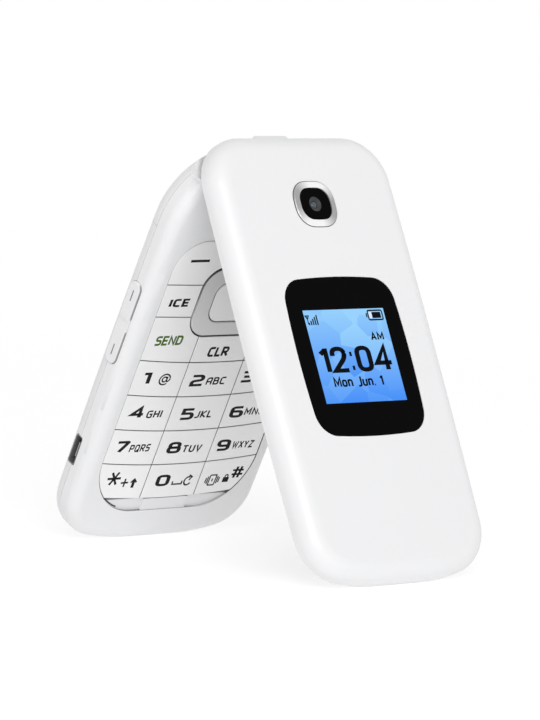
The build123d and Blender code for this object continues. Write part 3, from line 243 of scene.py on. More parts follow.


# The keypad cover: case plastic, with painted shade on the walls of the key opening and of the chin's ledge.
# Each rectangle is its middle across and from the hinge end, its width and its length. Flat floors
# stay free of the painted shade, and on the chin's slopes it turns paler between the two ends of paleFrom.
keyOpening = {
    "well": (0, 55.7, 45.0, 65.6), "chin": (0, 90.0, 45.0, 3.4), "tab": (0, 89.7, 14.0, 3.2),
    "floors": (-0.35, 0.1), "paleFrom": (6, 10), "pale": 0.4}


def makeKeypadCover():
    mat, tree, shader = openFinish("white keypad cover", casePlastic)
    paintSwingRoomGlow(tree, shader)
    across, along, out = seatPlace(tree, baseSeat)
    well = patch(tree, across, along, *keyOpening["well"])
    wall = maths(tree, "MULTIPLY", well, spread(tree, out, keyTop, keyTop - 0.05))
    chinArea = patch(tree, across, along, *keyOpening["chin"])
    slope = maths(tree, "MULTIPLY", chinArea, spread(tree, out, keyTop + 0.03, keyTop))
    for level in keyOpening["floors"]:
        floor = maths(tree, "COMPARE", out, level)
        floor.node.inputs[2].default_value = 0.03
        slope = maths(tree, "SUBTRACT", slope, floor, True)
    tab = patch(tree, across, along, *keyOpening["tab"])
    slope = maths(tree, "SUBTRACT", slope, tab, True)
    right = spread(tree, across, *keyOpening["paleFrom"], 1.0, keyOpening["pale"])
    # Painted shade: the walls and slopes are darkened towards the shaded side colour.
    shade = maths(tree, "MAXIMUM", wall, maths(tree, "MULTIPLY", slope, right))
    colour = blendColours(tree, shade, casePlastic["colour"], shaded["side"])
    tree.links.new(colour, shader.inputs["Base Color"])
    return mat


whiteCase = plainFinish("gloss white case plastic", casePlastic)
satinKeys = makeKeyFinish()
moulded = plainFinish("black moulded plastic", blackPlastic)

keyNodes = [name for name in nodes if name.endswith("_key") or name.startswith(("key_", "soft_key"))]
keyNodes = [name for name in keyNodes if name != "key_mat"]
dress(whiteCase, "flip_outer_cover", "flip_inner_cover", "battery_cover")
dress(makeRearHousing(), "rear_housing")
dress(makeKeypadCover(), "keypad_cover")
dress(satinKeys, *keyNodes)
dress(plainFinish("pale rubber", rubber), "flip_bumpers")
dress(moulded, "key_mat", "camera_module", "loudspeaker", "microphone", "earpiece", "volume_switch",
      "battery_contacts", "headset_jack")
dress(plainFinish("stamped steel", steel), "flip_screws", "base_screws", "flip_magnet", "vibration_motor",
      "sim_holders", "dome_sheet")
dress(plainFinish("hinge steel", springSteel), "hinge_can", "hinge_cam", "hinge_shaft", "hinge_spring")
dress(plainFinish("hinge bush nylon", nylon), "hinge_bush")
dress(plainFinish("amber flex film", filmAmber), "hinge_flex_flip", "hinge_flex_base")
print("plain finishes on", len(keyNodes), "keys and the case")

# The circuit boards: green laminate with paler tracks and gold pads.
circuit = {
    "colour": (0.02, 0.12, 0.06), "track": (0.05, 0.22, 0.11), "pad": (0.6, 0.42, 0.16),
    "tracksPerMetre": 420, "padsPerMetre": 260}


def makeCircuit():
    mat, tree, shader = newMaterial("circuit laminate", circuit["colour"], 0.35)
    place = addNode(tree, "ShaderNodeTexCoord").outputs["Object"]
    tracks = addNode(tree, "ShaderNodeTexVoronoi", {"Vector": place, "Scale": circuit["tracksPerMetre"]},
                     distance="CHEBYCHEV")
    pads = addNode(tree, "ShaderNodeTexVoronoi", {
        "Vector": place, "Scale": circuit["padsPerMetre"], "Randomness": 0.6})
    line = spread(tree, tracks.outputs["Distance"], 0.32, 0.36)
    dot = spread(tree, pads.outputs["Distance"], 0.14, 0.1)
    colour = blendColours(tree, line, circuit["colour"], circuit["track"])
    tree.links.new(blendColours(tree, dot, colour, circuit["pad"]), shader.inputs["Base Color"])
    tree.links.new(dot, shader.inputs["Metallic"])
    bump = addNode(tree, "ShaderNodeBump", {"Height": line, "Strength": 0.2, "Distance": 0.03 * mm})
    tree.links.new(bump.outputs["Normal"], shader.inputs["Normal"])
    return mat


# The battery: foil wrap with a plain dark label inside its rim.
cell = {
    "foil": (0.45, 0.46, 0.48), "label": (0.10, 0.105, 0.11), "rim": 2.2, "fromEnd": 56.9, "width": 34,
    "length": 45.5}


def makeCell():
    mat, tree, shader = newMaterial("battery wrap", cell["label"], 0.4)
    across, along = seatPlace(tree, baseSeat)[:2]
    width, length = [cell[side] - 2 * cell["rim"] for side in ("width", "length")]
    inside = patch(tree, across, along, 0, cell["fromEnd"], width, length, 0.05)
    tree.links.new(blendColours(tree, inside, cell["foil"], cell["label"]), shader.inputs["Base Color"])
    tree.links.new(maths(tree, "SUBTRACT", 1.0, inside), shader.inputs["Metallic"])
    return mat


dress(makeCircuit(), "flip_board", "main_board")
dress(makeCell(), "battery")

# The black windows: deep gloss, a hair lighter where the inner display lies behind.
window = {
    "colour": (0.0015, 0.0015, 0.0018), "behind": (0.006, 0.0065, 0.008), "gloss": (0.04, 0.09),
    "innerArea": (0, 52.0, 35, 46)}


def makeWindow(name, area=None):
    mat, tree, shader = newMaterial(name, window["colour"], window["gloss"][0], specular=0.02)
    place = addNode(tree, "ShaderNodeTexCoord").outputs["Object"]
    wipe = addNode(tree, "ShaderNodeTexNoise", {
        "Vector": place, "Scale": 90, "Detail": 4.0, "Distortion": 0.6})
    tree.links.new(spread(tree, wipe.outputs["Fac"], 0.3, 0.8, *window["gloss"]), shader.inputs["Roughness"])
    if area:
        across, along = seatPlace(tree, flipSeat)[:2]
        inside = patch(tree, across, along, *area, 0.1)
        colour = blendColours(tree, inside, window["colour"], window["behind"])
        tree.links.new(colour, shader.inputs["Base Color"])
    return mat


dress(makeWindow("outer window black"), "outer_window")
dress(makeWindow("inner window black", window["innerArea"]), "main_window")

# The lit picture: sky blue that deepens downwards, broken into faint facets.
picture = {
    "top": (0.30, 0.63, 0.97), "bottom": (0.05, 0.27, 0.93), "facet": 0.2, "facetsPerMetre": 150,
    "outer": (40.0, 60.4), "inner": (28.0, 75.0)}  # where each display starts and ends, from the hinge end


def makePicture(name, topEnd, lowEnd):
    mat, tree, shader = newMaterial(name, (0.0, 0.0, 0.0), 0.3, specular=0.15)
    across, along = seatPlace(tree, flipSeat)[:2]
    fall = spread(tree, along, up(topEnd), up(lowEnd))
    flat = addNode(tree, "ShaderNodeCombineXYZ", {0: across, 1: along})
    facets = addNode(tree, "ShaderNodeTexVoronoi", {
        "Vector": flat.outputs[0], "Scale": picture["facetsPerMetre"] * mm}, distance="EUCLIDEAN")
    tone = addNode(tree, "ShaderNodeSeparateColor", {"Color": facets.outputs["Color"]})
    shift = spread(tree, tone.outputs[0], 0, 1, -picture["facet"], picture["facet"])
    deep = maths(tree, "ADD", fall, shift, True)
    colour = blendColours(tree, deep, picture["top"], picture["bottom"])
    tree.links.new(colour, shader.inputs["Emission Color"])
    shader.inputs["Emission Strength"].default_value = 1.0
    return mat


dress(makePicture("lit picture", *picture["outer"]), "outer_display")
dress(makePicture("inner picture", *picture["inner"]), "main_display")

# The camera trim: turned bright metal with a painted sheen that runs round it in sectors, and painted shade
# on its outer wall.
trim = {
    "bright": (0.92, 0.92, 0.93), "dull": (0.34, 0.34, 0.345), "wall": (0.05, 0.05, 0.055),
    "turnedLines": 26, "sheenTurn": -2.66, "metal": 0.35}  # lines per mm, and the sheen's turn in radians


def makeTrim():
    mat, tree, shader = newMaterial("turned camera trim", trim["bright"], 0.25, metal=trim["metal"])
    across, along, out = seatPlace(tree, flipSeat)
    y = maths(tree, "SUBTRACT", along, up(cameraFromEnd))
    angle = maths(tree, "ARCTAN2", y, across)
    # Painted sheen: the colour turns between dull and bright in sectors round the trim.
    sheen = maths(tree, "COSINE", maths(tree, "ADD", maths(tree, "MULTIPLY", angle, 2.0), trim["sheenTurn"]))
    squares = [maths(tree, "MULTIPLY", part, part) for part in (across, y)]
    radius = maths(tree, "SQRT", maths(tree, "ADD", *squares))
    rings = addNode(tree, "ShaderNodeTexNoise", {
        "W": maths(tree, "MULTIPLY", radius, trim["turnedLines"]), "Scale": 1.0, "Detail": 2.0},
        noise_dimensions="1D")
    lines = spread(tree, rings.outputs["Fac"], 0.2, 0.8, -0.22, 0.22)
    share = maths(tree, "ADD", spread(tree, sheen, -0.8, 0.75), lines, True)
    face = blendColours(tree, share, trim["dull"], trim["bright"])
    # Painted shade: the outer wall is near black.
    wall = spread(tree, out, flipFace + 0.12, flipFace + 0.05)
    tree.links.new(blendColours(tree, wall, face, trim["wall"]), shader.inputs["Base Color"])
    bump = addNode(tree, "ShaderNodeBump", {
        "Height": rings.outputs["Fac"], "Strength": 0.1, "Distance": 0.02 * mm})
    tree.links.new(bump.outputs["Normal"], shader.inputs["Normal"])
    return mat


dress(makeTrim(), "camera_ring")

# The navigation ring: silvered satin, paler towards its lower end, with painted shade on its partly metallic
# rim, darkest at its top. fall and rimFrom are where the colour and the rim start and end to change, from the
# hinge end.
navigation = {
    "colour": (0.62, 0.62, 0.625), "low": (0.74, 0.74, 0.745), "rim": (0.08, 0.08, 0.085),
    "fall": (30, 47), "rimFrom": (45, 33), "rimLevel": (0.30, 0.24)}


def makeNavigation():
    mat, tree, shader = newMaterial("silvered ring plastic", navigation["colour"], 0.38, coat=0.1)
    along, out = seatPlace(tree, baseSeat)[1:]
    fall = spread(tree, along, *[up(end) for end in navigation["fall"]])
    colour = blendColours(tree, fall, navigation["colour"], navigation["low"])
    # Painted shade on the rim: full near the top, fading out lower down.
    high = spread(tree, along, *[up(end) for end in navigation["rimFrom"]])
    edge = maths(tree, "MULTIPLY", spread(tree, out, *navigation["rimLevel"]), high)
    tree.links.new(blendColours(tree, edge, colour, navigation["rim"]), shader.inputs["Base Color"])
    tree.links.new(maths(tree, "MULTIPLY", edge, 0.8), shader.inputs["Metallic"])
    return mat


dress(makeNavigation(), "nav_ring")

# The side rocker: case plastic with two thin grey marks, and painted shade on its flank on both sides of its
# waist.
rocker = {
    "markLength": 2.6, "markWidth": 0.3, "fromMiddle": 6.6, "markLevel": -3.95, "colour": (0.12, 0.12, 0.125),
    "fromEnd": 45.3, "flank": (0.3, 0.3, 0.31), "flankLevel": (-3.2, -2.6), "waist": (1.2, 1.8)}


def makeRocker():
    mat, tree, shader = openFinish("rocker plastic", {
        **casePlastic, "gloss": (0.26, 0.34), "coat": 0.25, "coatRough": 0.12, "specular": 0.5})
    across, along, out = seatPlace(tree, baseSeat)
    marks = [patch(tree, out, along, rocker["markLevel"], rocker["fromEnd"] + side * rocker["fromMiddle"],
                   rocker["markWidth"], rocker["markLength"]) for side in (-1, 1)]
    proud = spread(tree, across, -sideWall, -sideWall - 0.2)
    both = maths(tree, "MULTIPLY", maths(tree, "MAXIMUM", *marks), proud)
    # Painted shade on the rocker's flank.
    flank = maths(tree, "MULTIPLY", spread(tree, across, -sideWall - 0.36, -sideWall - 0.22),
                  spread(tree, out, *rocker["flankLevel"]))
    apart = maths(tree, "ABSOLUTE", maths(tree, "SUBTRACT", along, up(rocker["fromEnd"])))
    flank = maths(tree, "MULTIPLY", flank, spread(tree, apart, *rocker["waist"]))
    body = blendColours(tree, flank, casePlastic["colour"], rocker["flank"])
    tree.links.new(blendColours(tree, both, body, rocker["colour"]), shader.inputs["Base Color"])
    return mat


dress(makeRocker(), "volume_rocker")

# The micro USB socket: a grey shell round a black tongue with a pale contact edge.
socket = {
    "shell": (0.2, 0.2, 0.205), "tongue": (0.02, 0.02, 0.02), "contacts": (0.5, 0.5, 0.5), "level": -5.0,
    "tongueHalf": 0.32, "contactHalf": 0.08, "depth": 0.6}


def makeSocket():
    mat, tree, shader = newMaterial("socket shell", socket["shell"], 0.35, metal=0.3)
    across, out = seatPlace(tree, baseSeat)[::2]
    high = maths(tree, "ABSOLUTE", maths(tree, "SUBTRACT", out, socket["level"]))
    inside = spread(tree, across, socket["depth"] - sideWall, socket["depth"] + 0.1 - sideWall)
    half = socket["tongueHalf"]
    tongue = maths(tree, "MULTIPLY", spread(tree, high, half + 0.04, half), inside)
    half = socket["contactHalf"]
    line = maths(tree, "MULTIPLY", spread(tree, high, half + 0.06, half), inside)
    colour = blendColours(tree, tongue, socket["shell"], socket["tongue"])
    tree.links.new(blendColours(tree, line, colour, socket["contacts"]), shader.inputs["Base Color"])
    return mat


dress(makeSocket(), "usb_socket")
print("special finishes done")

# A letter 1 high is its width and its paths. Points are across, up and, at a rounded corner, its
# radius. A path that ends where it starts is closed.
letters = {
    "A": (.68, [[(0, 0), (0, 1, .35), (.68, 1, .15), (.68, 0)], [(0, .4), (.68, .4)]]),
    "B": (.66, [[(0, 0), (0, 1), (.6, 1, .2), (.6, .54, .16), (0, .54)],
                [(.5, .54), (.66, .54, .18), (.66, 0, .2), (0, 0)]]),
    "C": (.64, [[(.64, 1), (0, 1, .28), (0, 0, .28), (.64, 0)]]),
    "D": (.66, [[(0, 0), (0, 1), (.66, 1, .32), (.66, 0, .32), (0, 0)]]),
    "E": (.6, [[(.6, 1), (0, 1), (0, 0), (.6, 0)], [(0, .5), (.54, .5)]]),
    "F": (.6, [[(.6, 1), (0, 1), (0, 0)], [(0, .5), (.54, .5)]]),
    "G": (.66, [[(.66, 1), (0, 1, .28), (0, 0, .28), (.66, 0, .15), (.66, .5), (.36, .5)]]),
    "H": (.66, [[(0, 0), (0, 1)], [(.66, 0), (.66, 1)], [(0, .5), (.66, .5)]]),
    "I": (.0, [[(0, 0), (0, 1)]]),
    "J": (.5, [[(.5, 1), (.5, 0, .28), (0, 0)]]),
    "K": (.64, [[(0, 0), (0, 1)], [(.62, 1), (.04, .48), (.64, 0)]]),
    "L": (.54, [[(0, 1), (0, 0), (.54, 0)]]),
    "M": (.82, [[(0, 0), (0, 1), (.41, .3), (.82, 1), (.82, 0)]]),
    "N": (.66, [[(0, 0), (0, 1), (.66, 0), (.66, 1)]]),
    "O": (.68, [[(.34, 0), (.68, 0, .26), (.68, 1, .26), (0, 1, .26), (0, 0, .26), (.34, 0)]]),
    "P": (.64, [[(0, 0), (0, 1), (.64, 1, .24), (.64, .44, .24), (0, .44)]]),
    "Q": (.7, [[(.34, 0), (.68, 0, .26), (.68, 1, .26), (0, 1, .26), (0, 0, .26), (.34, 0)],
               [(.4, .24), (.74, -.1)]]),
    "R": (.64, [[(0, 0), (0, 1), (.64, 1, .24), (.64, .46, .24), (0, .46)], [(.32, .46), (.66, 0)]]),
    "S": (.62, [[(.62, 1), (0, 1, .24), (0, .52, .2), (.62, .5, .2), (.62, 0, .24), (0, 0)]]),
    "T": (.66, [[(0, 1), (.66, 1)], [(.33, 1), (.33, 0)]]),
    "U": (.66, [[(0, 1), (0, 0, .3), (.66, 0, .3), (.66, 1)]]),
    "V": (.66, [[(0, 1), (.32, 0), (.66, 1)]]),
    "W": (.94, [[(0, 1), (.22, 0), (.47, .8), (.72, 0), (.94, 1)]]),
    "X": (.64, [[(0, 1), (.64, 0)], [(0, 0), (.64, 1)]]),
    "Y": (.64, [[(0, 1), (.32, .46), (.64, 1)], [(.32, .46), (.32, 0)]]),
    "Z": (.62, [[(0, 1), (.62, 1), (0, 0), (.62, 0)]]),
    "#": (.8, [[(.18, 0), (.3, 1)], [(.5, 0), (.62, 1)], [(.02, .3), (.78, .3)], [(.02, .7), (.78, .7)]]),
}
padDigits = {
    "0": (.7, [[(.35, 0), (.7, 0, .26), (.7, 1, .26), (0, 1, .26), (0, 0, .26), (.35, 0)]]),
    "1": (.34, [[(.02, 1), (.34, 1), (.34, 0)]]),
    "2": (.7, [[(.02, 1), (.7, 1, .26), (.7, .54, .2), (0, .42, .2), (0, 0), (.7, 0)]]),
    "3": (.68, [[(.04, 1), (.68, 1, .26), (.68, 0, .26), (0, 0)], [(.12, .51), (.62, .51)]]),
    "4": (.74, [[(.56, 0), (.56, 1), (0, .27), (.74, .27)]]),
    "5": (.7, [[(.68, 1), (.06, 1), (.04, .56), (.7, .56, .24), (.7, 0, .26), (0, 0)]]),
    "6": (.7, [[(.66, 1), (0, 1, .28), (0, 0, .26), (.7, 0, .26), (.7, .56, .24), (.02, .56)]]),
    "7": (.68, [[(0, 1), (.68, 1, .1), (.2, 0)]]),
    "8": (.72, [[(.36, 0), (.72, 0, .24), (.72, .5, .14), (0, .5, .14), (0, 0, .24), (.36, 0)],
                [(.36, 1), (.68, 1, .24), (.68, .5, .16), (.04, .5, .16), (.04, 1, .24), (.36, 1)]]),
    "9": (.7, [[(.04, 0), (.7, 0, .28), (.7, 1, .26), (0, 1, .26), (0, .44, .24), (.68, .44)]]),
}
# Only the signs that the words on the display need.
clockDigits = {
    "0": (.5, [[(.25, 0), (.5, 0, .25), (.5, 1, .25), (0, 1, .25), (0, 0, .25), (.25, 0)]]),
    "1": (.2, [[(0, .8), (.16, .93)], [(.2, 1), (.2, 0)]]),
    "2": (.5, [[(0, .72), (0, 1, .25), (.5, 1, .25), (.5, .6, .2), (0, 0), (.52, 0)]]),
    "4": (.56, [[(.42, 0), (.42, 1), (0, .28), (.58, .28)]]),
    ":": (.02, [[(0, .1), (.02, .1)], [(0, .74), (.02, .74)]]),
    ".": (.02, [[(0, .0), (.02, .0)]]),
    "o": (.46, [[(.23, 0), (.46, 0, .23), (.46, .66, .23), (0, .66, .23), (0, 0, .23), (.23, 0)]]),
    "n": (.44, [[(0, 0), (0, .7)], [(0, .5), (0, .68, .2), (.44, .68, .2), (.44, 0)]]),
    "u": (.44, [[(0, .68), (0, 0, .2), (.44, 0, .2), (.44, .68)]]),
    " ": (.24, []),
    "A": (.6, [[(0, 0), (.3, 1), (.6, 0)], [(.1, .3), (.5, .3)]]),
    "J": (.34, [[(.34, 1), (.34, -.05, .22), (0, -.05)]]),
    "M": (.74, [[(0, 0), (0, 1), (.37, .2), (.74, 1), (.74, 0)]]),
}


# The points of a path, with a short curve at each rounded corner.
def roundPath(path):
    closed = path[0][:2] == path[-1][:2]
    points = []
    for i, spot in enumerate(path):
        here = Vector(spot[:2])
        if len(spot) == 2 or i in (0, len(path) - 1):
            points.append(here)
            continue
        before, after = Vector(path[i - 1][:2]), Vector(path[i + 1][:2])
        first = here + (before - here).normalized() * min(spot[2], (before - here).length)
        last = here + (after - here).normalized() * min(spot[2], (after - here).length)
        for step in range(7):
            t = step / 6
            curve = first * (1 - t) ** 2 + here * 2 * t * (1 - t) + last * t ** 2
            if not points or (curve - points[-1]).length > 1e-4:
                points.append(curve)
    return points, closed


# An arc round x, y from its half width and half height, its first angle and its turn in degrees.
def arc(wide, high, first, turn, steps, x=0.0, y=0.0):
    angles = [radians(first + turn * i / steps) for i in range(steps + 1)]
    return [(x + wide * cos(a), y + high * sin(a)) for a in angles]


# A closed box from its half width, its lower and upper side and its corner radius.
def box(wide, low, high, *corner):
    return [(0, low), (wide, low, *corner), (wide, high, *corner), (-wide, high, *corner),
            (-wide, low, *corner), (0, low)]


# A flat inked band along a path, standing a hair above the surface.
def inkBand(bm, place, points, closed, half):
    if closed:
        points = points[:-1]
    count = len(points)
    left, right = [], []
    for i, here in enumerate(points):
        before = points[i - 1] if i or closed else here
        after = points[(i + 1) % count] if i < count - 1 or closed else here
        runs = [r.normalized() for r in (here - before, after - here) if r.length > 1e-9]
        side = sum((Vector((-r.y, r.x)) for r in runs), Vector((0, 0))).normalized()
        reach = half / max(side.dot(Vector((-runs[0].y, runs[0].x))), 0.45)
        ends = Vector((0, 0))
        if not closed and i in (0, count - 1):
            ends = runs[0] * half * (-1 if i == 0 else 1) * 0.4
        left.append(here + side * reach + ends)
        right.append(here - side * reach + ends)
    low, high = [[[bm.verts.new(place(p, top)) for p in line] for line in (left, right)] for top in (0, 1)]
    for i in range(count if closed else count - 1):
        j = (i + 1) % count
        bm.faces.new([high[0][i], high[1][i], high[1][j], high[0][j]])
        bm.faces.new([low[0][i], high[0][i], high[0][j], low[0][j]])
        bm.faces.new([low[1][i], low[1][j], high[1][j], high[1][i]])
    if not closed:
        for i in (0, count - 1):
            bm.faces.new([low[0][i], low[1][i], high[1][i], high[0][i]])


ink = {"proud": 0.012, "sunk": 0.03}  # how far printing stands over its surface and reaches into it


# Draws paths given in mm round a place on a surface, which is a half's seat and a level over it.
def draw(bm, surface, paths, x, fromEnd, stroke, slant=0.0, stretch=1.0):
    seat, level = surface

    def place(p, top):
        lift = ink["proud"] if top else -ink["sunk"]
        return seat @ (Vector((x + p.x * stretch + slant * p.y, up(fromEnd) + p.y, level + lift)) * mm)

    for path in paths:
        points, closed = roundPath(path)
        inkBand(bm, place, points, closed, stroke / 2)


# A letter's path in mm, from the middle of its height.
def sized(path, cap):
    spots = []
    for right, rise, *corner in path:
        spots.append((right * cap, (rise - 0.5) * cap, *[radius * cap for radius in corner]))
    return spots


# Writes words with their middle at a place on a surface.
def write(bm, surface, words, x, fromEnd, style, height, stroke, stretch=1.0, slant=0.0, gap=0.3):
    widths = [style[c][0] for c in words]
    cap = height - stroke
    pen = x - (sum(widths) + gap * (len(words) - 1)) * cap * stretch / 2
    for c, width in zip(words, widths):
        paths = [sized(path, cap) for path in style[c][1]]
        draw(bm, surface, paths, pen, fromEnd, stroke, slant, stretch)
        pen += (width + gap) * cap * stretch


# Turns the mesh in hand into a piece that rides on a body.
def makePiece(bm, name, body, mat, smooth=False):
    bmesh.ops.recalc_face_normals(bm, faces=bm.faces)
    mesh = bpy.data.meshes.new(name)
    bm.to_mesh(mesh)
    bm.free()
    if smooth:
        mesh.polygons.foreach_set("use_smooth", [True] * len(mesh.polygons))
    mesh.materials.append(mat)
    piece = bpy.data.objects.new(name, mesh)
    bpy.context.scene.collection.objects.link(piece)
    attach(piece, body)
    return piece


# A round form from its profile of radius and height, in mm.
def turned(profile, seat, x, y, segments=48):
    bm = bmesh.new()
    rings = []
    for radius, height in profile:
        ring = []
        for i in range(segments if radius > 0 else 1):
            a = 2 * pi * i / segments
            spot = Vector((x + radius * cos(a), y + radius * sin(a), height))
            ring.append(bm.verts.new(seat @ (spot * mm)))
        rings.append(ring)
    for low, high in zip(rings, rings[1:]):
        for i in range(segments):
            j = (i + 1) % segments
            corners = [low[i % len(low)], low[j % len(low)], high[j % len(high)], high[i % len(high)]]
            corners = list(dict.fromkeys(corners))
            if len(corners) > 2:
                bm.faces.new(corners)
    return bm


# The inks of the keys.
printLook = {"gloss": (0.4, 0.5), "grain": 3000, "relief": 0.05}
darkInk = plainFinish("dark key print", {
    **printLook, "colour": (0.006, 0.006, 0.0065), "second": (0.01, 0.01, 0.011), "specular": 0.12})
greenInk = plainFinish("green key print", {
    **printLook, "colour": (0.05, 0.125, 0.002), "second": (0.06, 0.135, 0.003), "specular": 0.3})
redInk = plainFinish("red key print", {
    **printLook, "colour": (0.42, 0.012, 0.012), "second": (0.45, 0.02, 0.018), "specular": 0.3})
keyFace = (baseSeat, keyTop)

# Number keys: the digit and its middle, then the letters and theirs, across and from the hinge end.
numberKeys = {
    "key_1": ("1", -18.55, 57.1, None, 0, 0),
    "key_2": ("2", -3.6, 58.2, "ABC", 1.9, 58.5),
    "key_3": ("3", 10.9, 57.8, "DEF", 16.4, 57.6),
    "key_4": ("4", -17.55, 65.7, "GHI", -12.5, 66.35),
    "key_5": ("5", -2.9, 66.8, "JKL", 1.9, 67.0),
    "key_6": ("6", 11.5, 66.9, "MNO", 16.8, 66.9),
    "key_7": ("7", -18.2, 74.4, "PQRS", -13.1, 75.0),
    "key_8": ("8", -3.1, 75.4, "TUV", 2.2, 75.85),
    "key_9": ("9", 11.3, 75.5, "WXYZ", 17.0, 75.55),
}
printing = {
    "digit": {"height": 2.95, "stroke": 0.62, "stretch": 1.75},
    "letter": {"height": 1.92, "stroke": 0.37, "stretch": 1.17, "slant": 0.06, "gap": 0.42},
    "fourLetters": 0.78,  # how much tighter a word of four letters is
    "slant": 0.06, "atSign": (-13.2, 57.55, 0.36)}


def printKeys():
    for node, (digit, x, fromEnd, word, wordX, wordEnd) in numberKeys.items():
        bm = bmesh.new()
        write(bm, keyFace, digit, x, fromEnd, padDigits, **printing["digit"])
        if word:
            look = dict(printing["letter"])
            if len(word) == 4:
                look["stretch"] *= printing["fourLetters"]
            write(bm, keyFace, word, wordX, wordEnd, letters, **look)
        else:
            outer = arc(1.45, 1.3, -346.2, 291.2, 16)
            inner = arc(0.62, 0.62, 0, 360, 12, -0.05)
            tail = [(0.62, 0.62), (0.6, -0.35, 0.2), (0.85, -0.62, 0.2), (1.35, -0.3, 0.3), (1.45, 0.1)]
            draw(bm, keyFace, [outer, inner, tail], *printing["atSign"], printing["slant"])
        makePiece(bm, node + "_print", node, darkInk)


printKeys()

# Signs of the lowest number row: middle across and from the hinge end, then the stroke.
lowRow = {
    "star": (-17.3, 82.6, 0.58), "plus": (-13.9, 83.85, 0.44), "shiftStem": (-11.3, 84.0, 0.8),
    "shiftTip": (-11.3, 84.0, 0.42), "space": (1.5, 84.8, 0.38), "turn": (4.6, 84.4, 0.4),
    "buzz": (11.75, 84.6, 0.34), "lock": (15.7, 84.3, 0.5), "shackle": (15.7, 84.3, 0.32),
    "nought": (-2.85, 83.9),
    "hash": {"x": 18.6, "fromEnd": 82.9, "height": 3.2, "stroke": 0.5, "stretch": 1.39}}


# The row with the star, the nought and the hash, with their small signs.
def printLowRow():
    def sign(name, paths, slant=0.0):
        draw(bm, keyFace, paths, *lowRow[name], slant)

    bm = bmesh.new()
    arms = [(1.75 * cos(a), 1.7 * sin(a)) for a in (0, radians(60), radians(120))]
    sign("star", [[(-x, -y), (x, y)] for x, y in arms])
    sign("plus", [[(-0.95, 0), (0.95, 0)], [(0, -0.95), (0, 0.95)]])
    sign("shiftStem", [[(0, -1.1), (0, 0.5)]])
    sign("shiftTip", [[(-0.75, 0.15), (0, 0.95), (0.75, 0.15)]])
    makePiece(bm, "key_star_print", "key_star", darkInk)

    bm = bmesh.new()
    write(bm, keyFace, "0", *lowRow["nought"], padDigits, **printing["digit"])
    sign("space", [[(-1.35, 0.45), (-1.35, -0.25), (1.35, -0.25), (1.35, 0.45)]])
    tip = [(-0.1, 1.5), (0.75, 1.0), (0.2, 0.25)]
    sign("turn", [arc(1.0, 1.05, 75, 252, 12, -0.1), tip], printing["slant"])
    makePiece(bm, "key_0_print", "key_0", darkInk)

    bm = bmesh.new()
    shakes = [[(side * (1.4 + 0.5 * k), -0.9 + 0.3 * k), (side * (1.4 + 0.5 * k), 0.9 - 0.3 * k)]
              for side in (-1, 1) for k in (0, 1)]
    sign("buzz", [box(0.9, -1.3, 1.3, 0.2), [(0, -0.3), (0, 0.3)], *shakes], printing["slant"])
    sign("lock", [box(0.6, -0.8, 0.0), [(-0.5, -0.4), (0.5, -0.4)]])
    sign("shackle", [[(-0.4, 0.1), (-0.4, 0.85, 0.35), (0.4, 0.85, 0.35), (0.4, 0.1)]])
    write(bm, keyFace, "#", style=letters, **lowRow["hash"])
    makePiece(bm, "key_hash_print", "key_hash", darkInk)


printLowRow()

# Words of the function keys: middle across and from the hinge end, height, stroke, stretch, gap, ink.
functionWords = {
    "function_key": ("ICE", -16.95, 38.3, 2.0, 0.48, 1.5, 0.46, darkInk),
    "call_key": ("SEND", -16.0, 47.7, 2.4, 0.5, 1.05, 0.34, greenInk),
    "clear_key": ("CLR", -0.6, 51.0, 2.5, 0.56, 1.08, 0.34, darkInk),
    "end_key": ("END", 16.0, 47.7, 2.4, 0.5, 1.05, 0.34, redInk),
    "ok_key": ("OK", 0.0, 38.5, 1.95, 0.48, 2.2, 0.5, darkInk),
}
# Dashes and the camera sign: middle across and from the hinge end, then the stroke.
functionSigns = {
    "dashHalf": 2.5, "soft_key_left": (-15.4, 28.0, 0.62), "soft_key_right": (15.4, 28.0, 0.62),
    "camera_key": (17.0, 38.6, 0.28)}


# The function keys: dashes on the soft keys, short words, and a camera sign.
def printFunctions():
    half = functionSigns["dashHalf"]
    for node in ("soft_key_left", "soft_key_right"):
        bm = bmesh.new()
        draw(bm, keyFace, [[(-half, 0), (half, 0)]], *functionSigns[node])
        makePiece(bm, node + "_print", node, darkInk)
    for node, (word, x, fromEnd, height, stroke, stretch, gap, mat) in functionWords.items():
        bm = bmesh.new()
        write(bm, keyFace, word, x, fromEnd, letters, height, stroke, stretch, printing["slant"], gap)
        makePiece(bm, node + "_print", node, mat)
    bm = bmesh.new()
    front = arc(0.5, 0.5, 0, 360, 12, 0, -0.1)
    camera = [box(1.7, -0.9, 0.7, 0.25), front, [(-0.6, 1.0), (0.5, 1.0)]]
    draw(bm, keyFace, camera, *functionSigns["camera_key"])
    makePiece(bm, "camera_key_print", "camera_key", darkInk)


printFunctions()
print("keypad printed")

# The headset socket's mouth is trimmed to the slope of the case's side, through two places given
# across and out. The cut edge becomes a dark grey ring, lighter than the black plastic, a painted highlight
# on the socket's rim.
headset = {"upper": (26.0, -2.6), "lower": (25.0, -7.7), "ring": (0.1, 0.1, 0.105)}


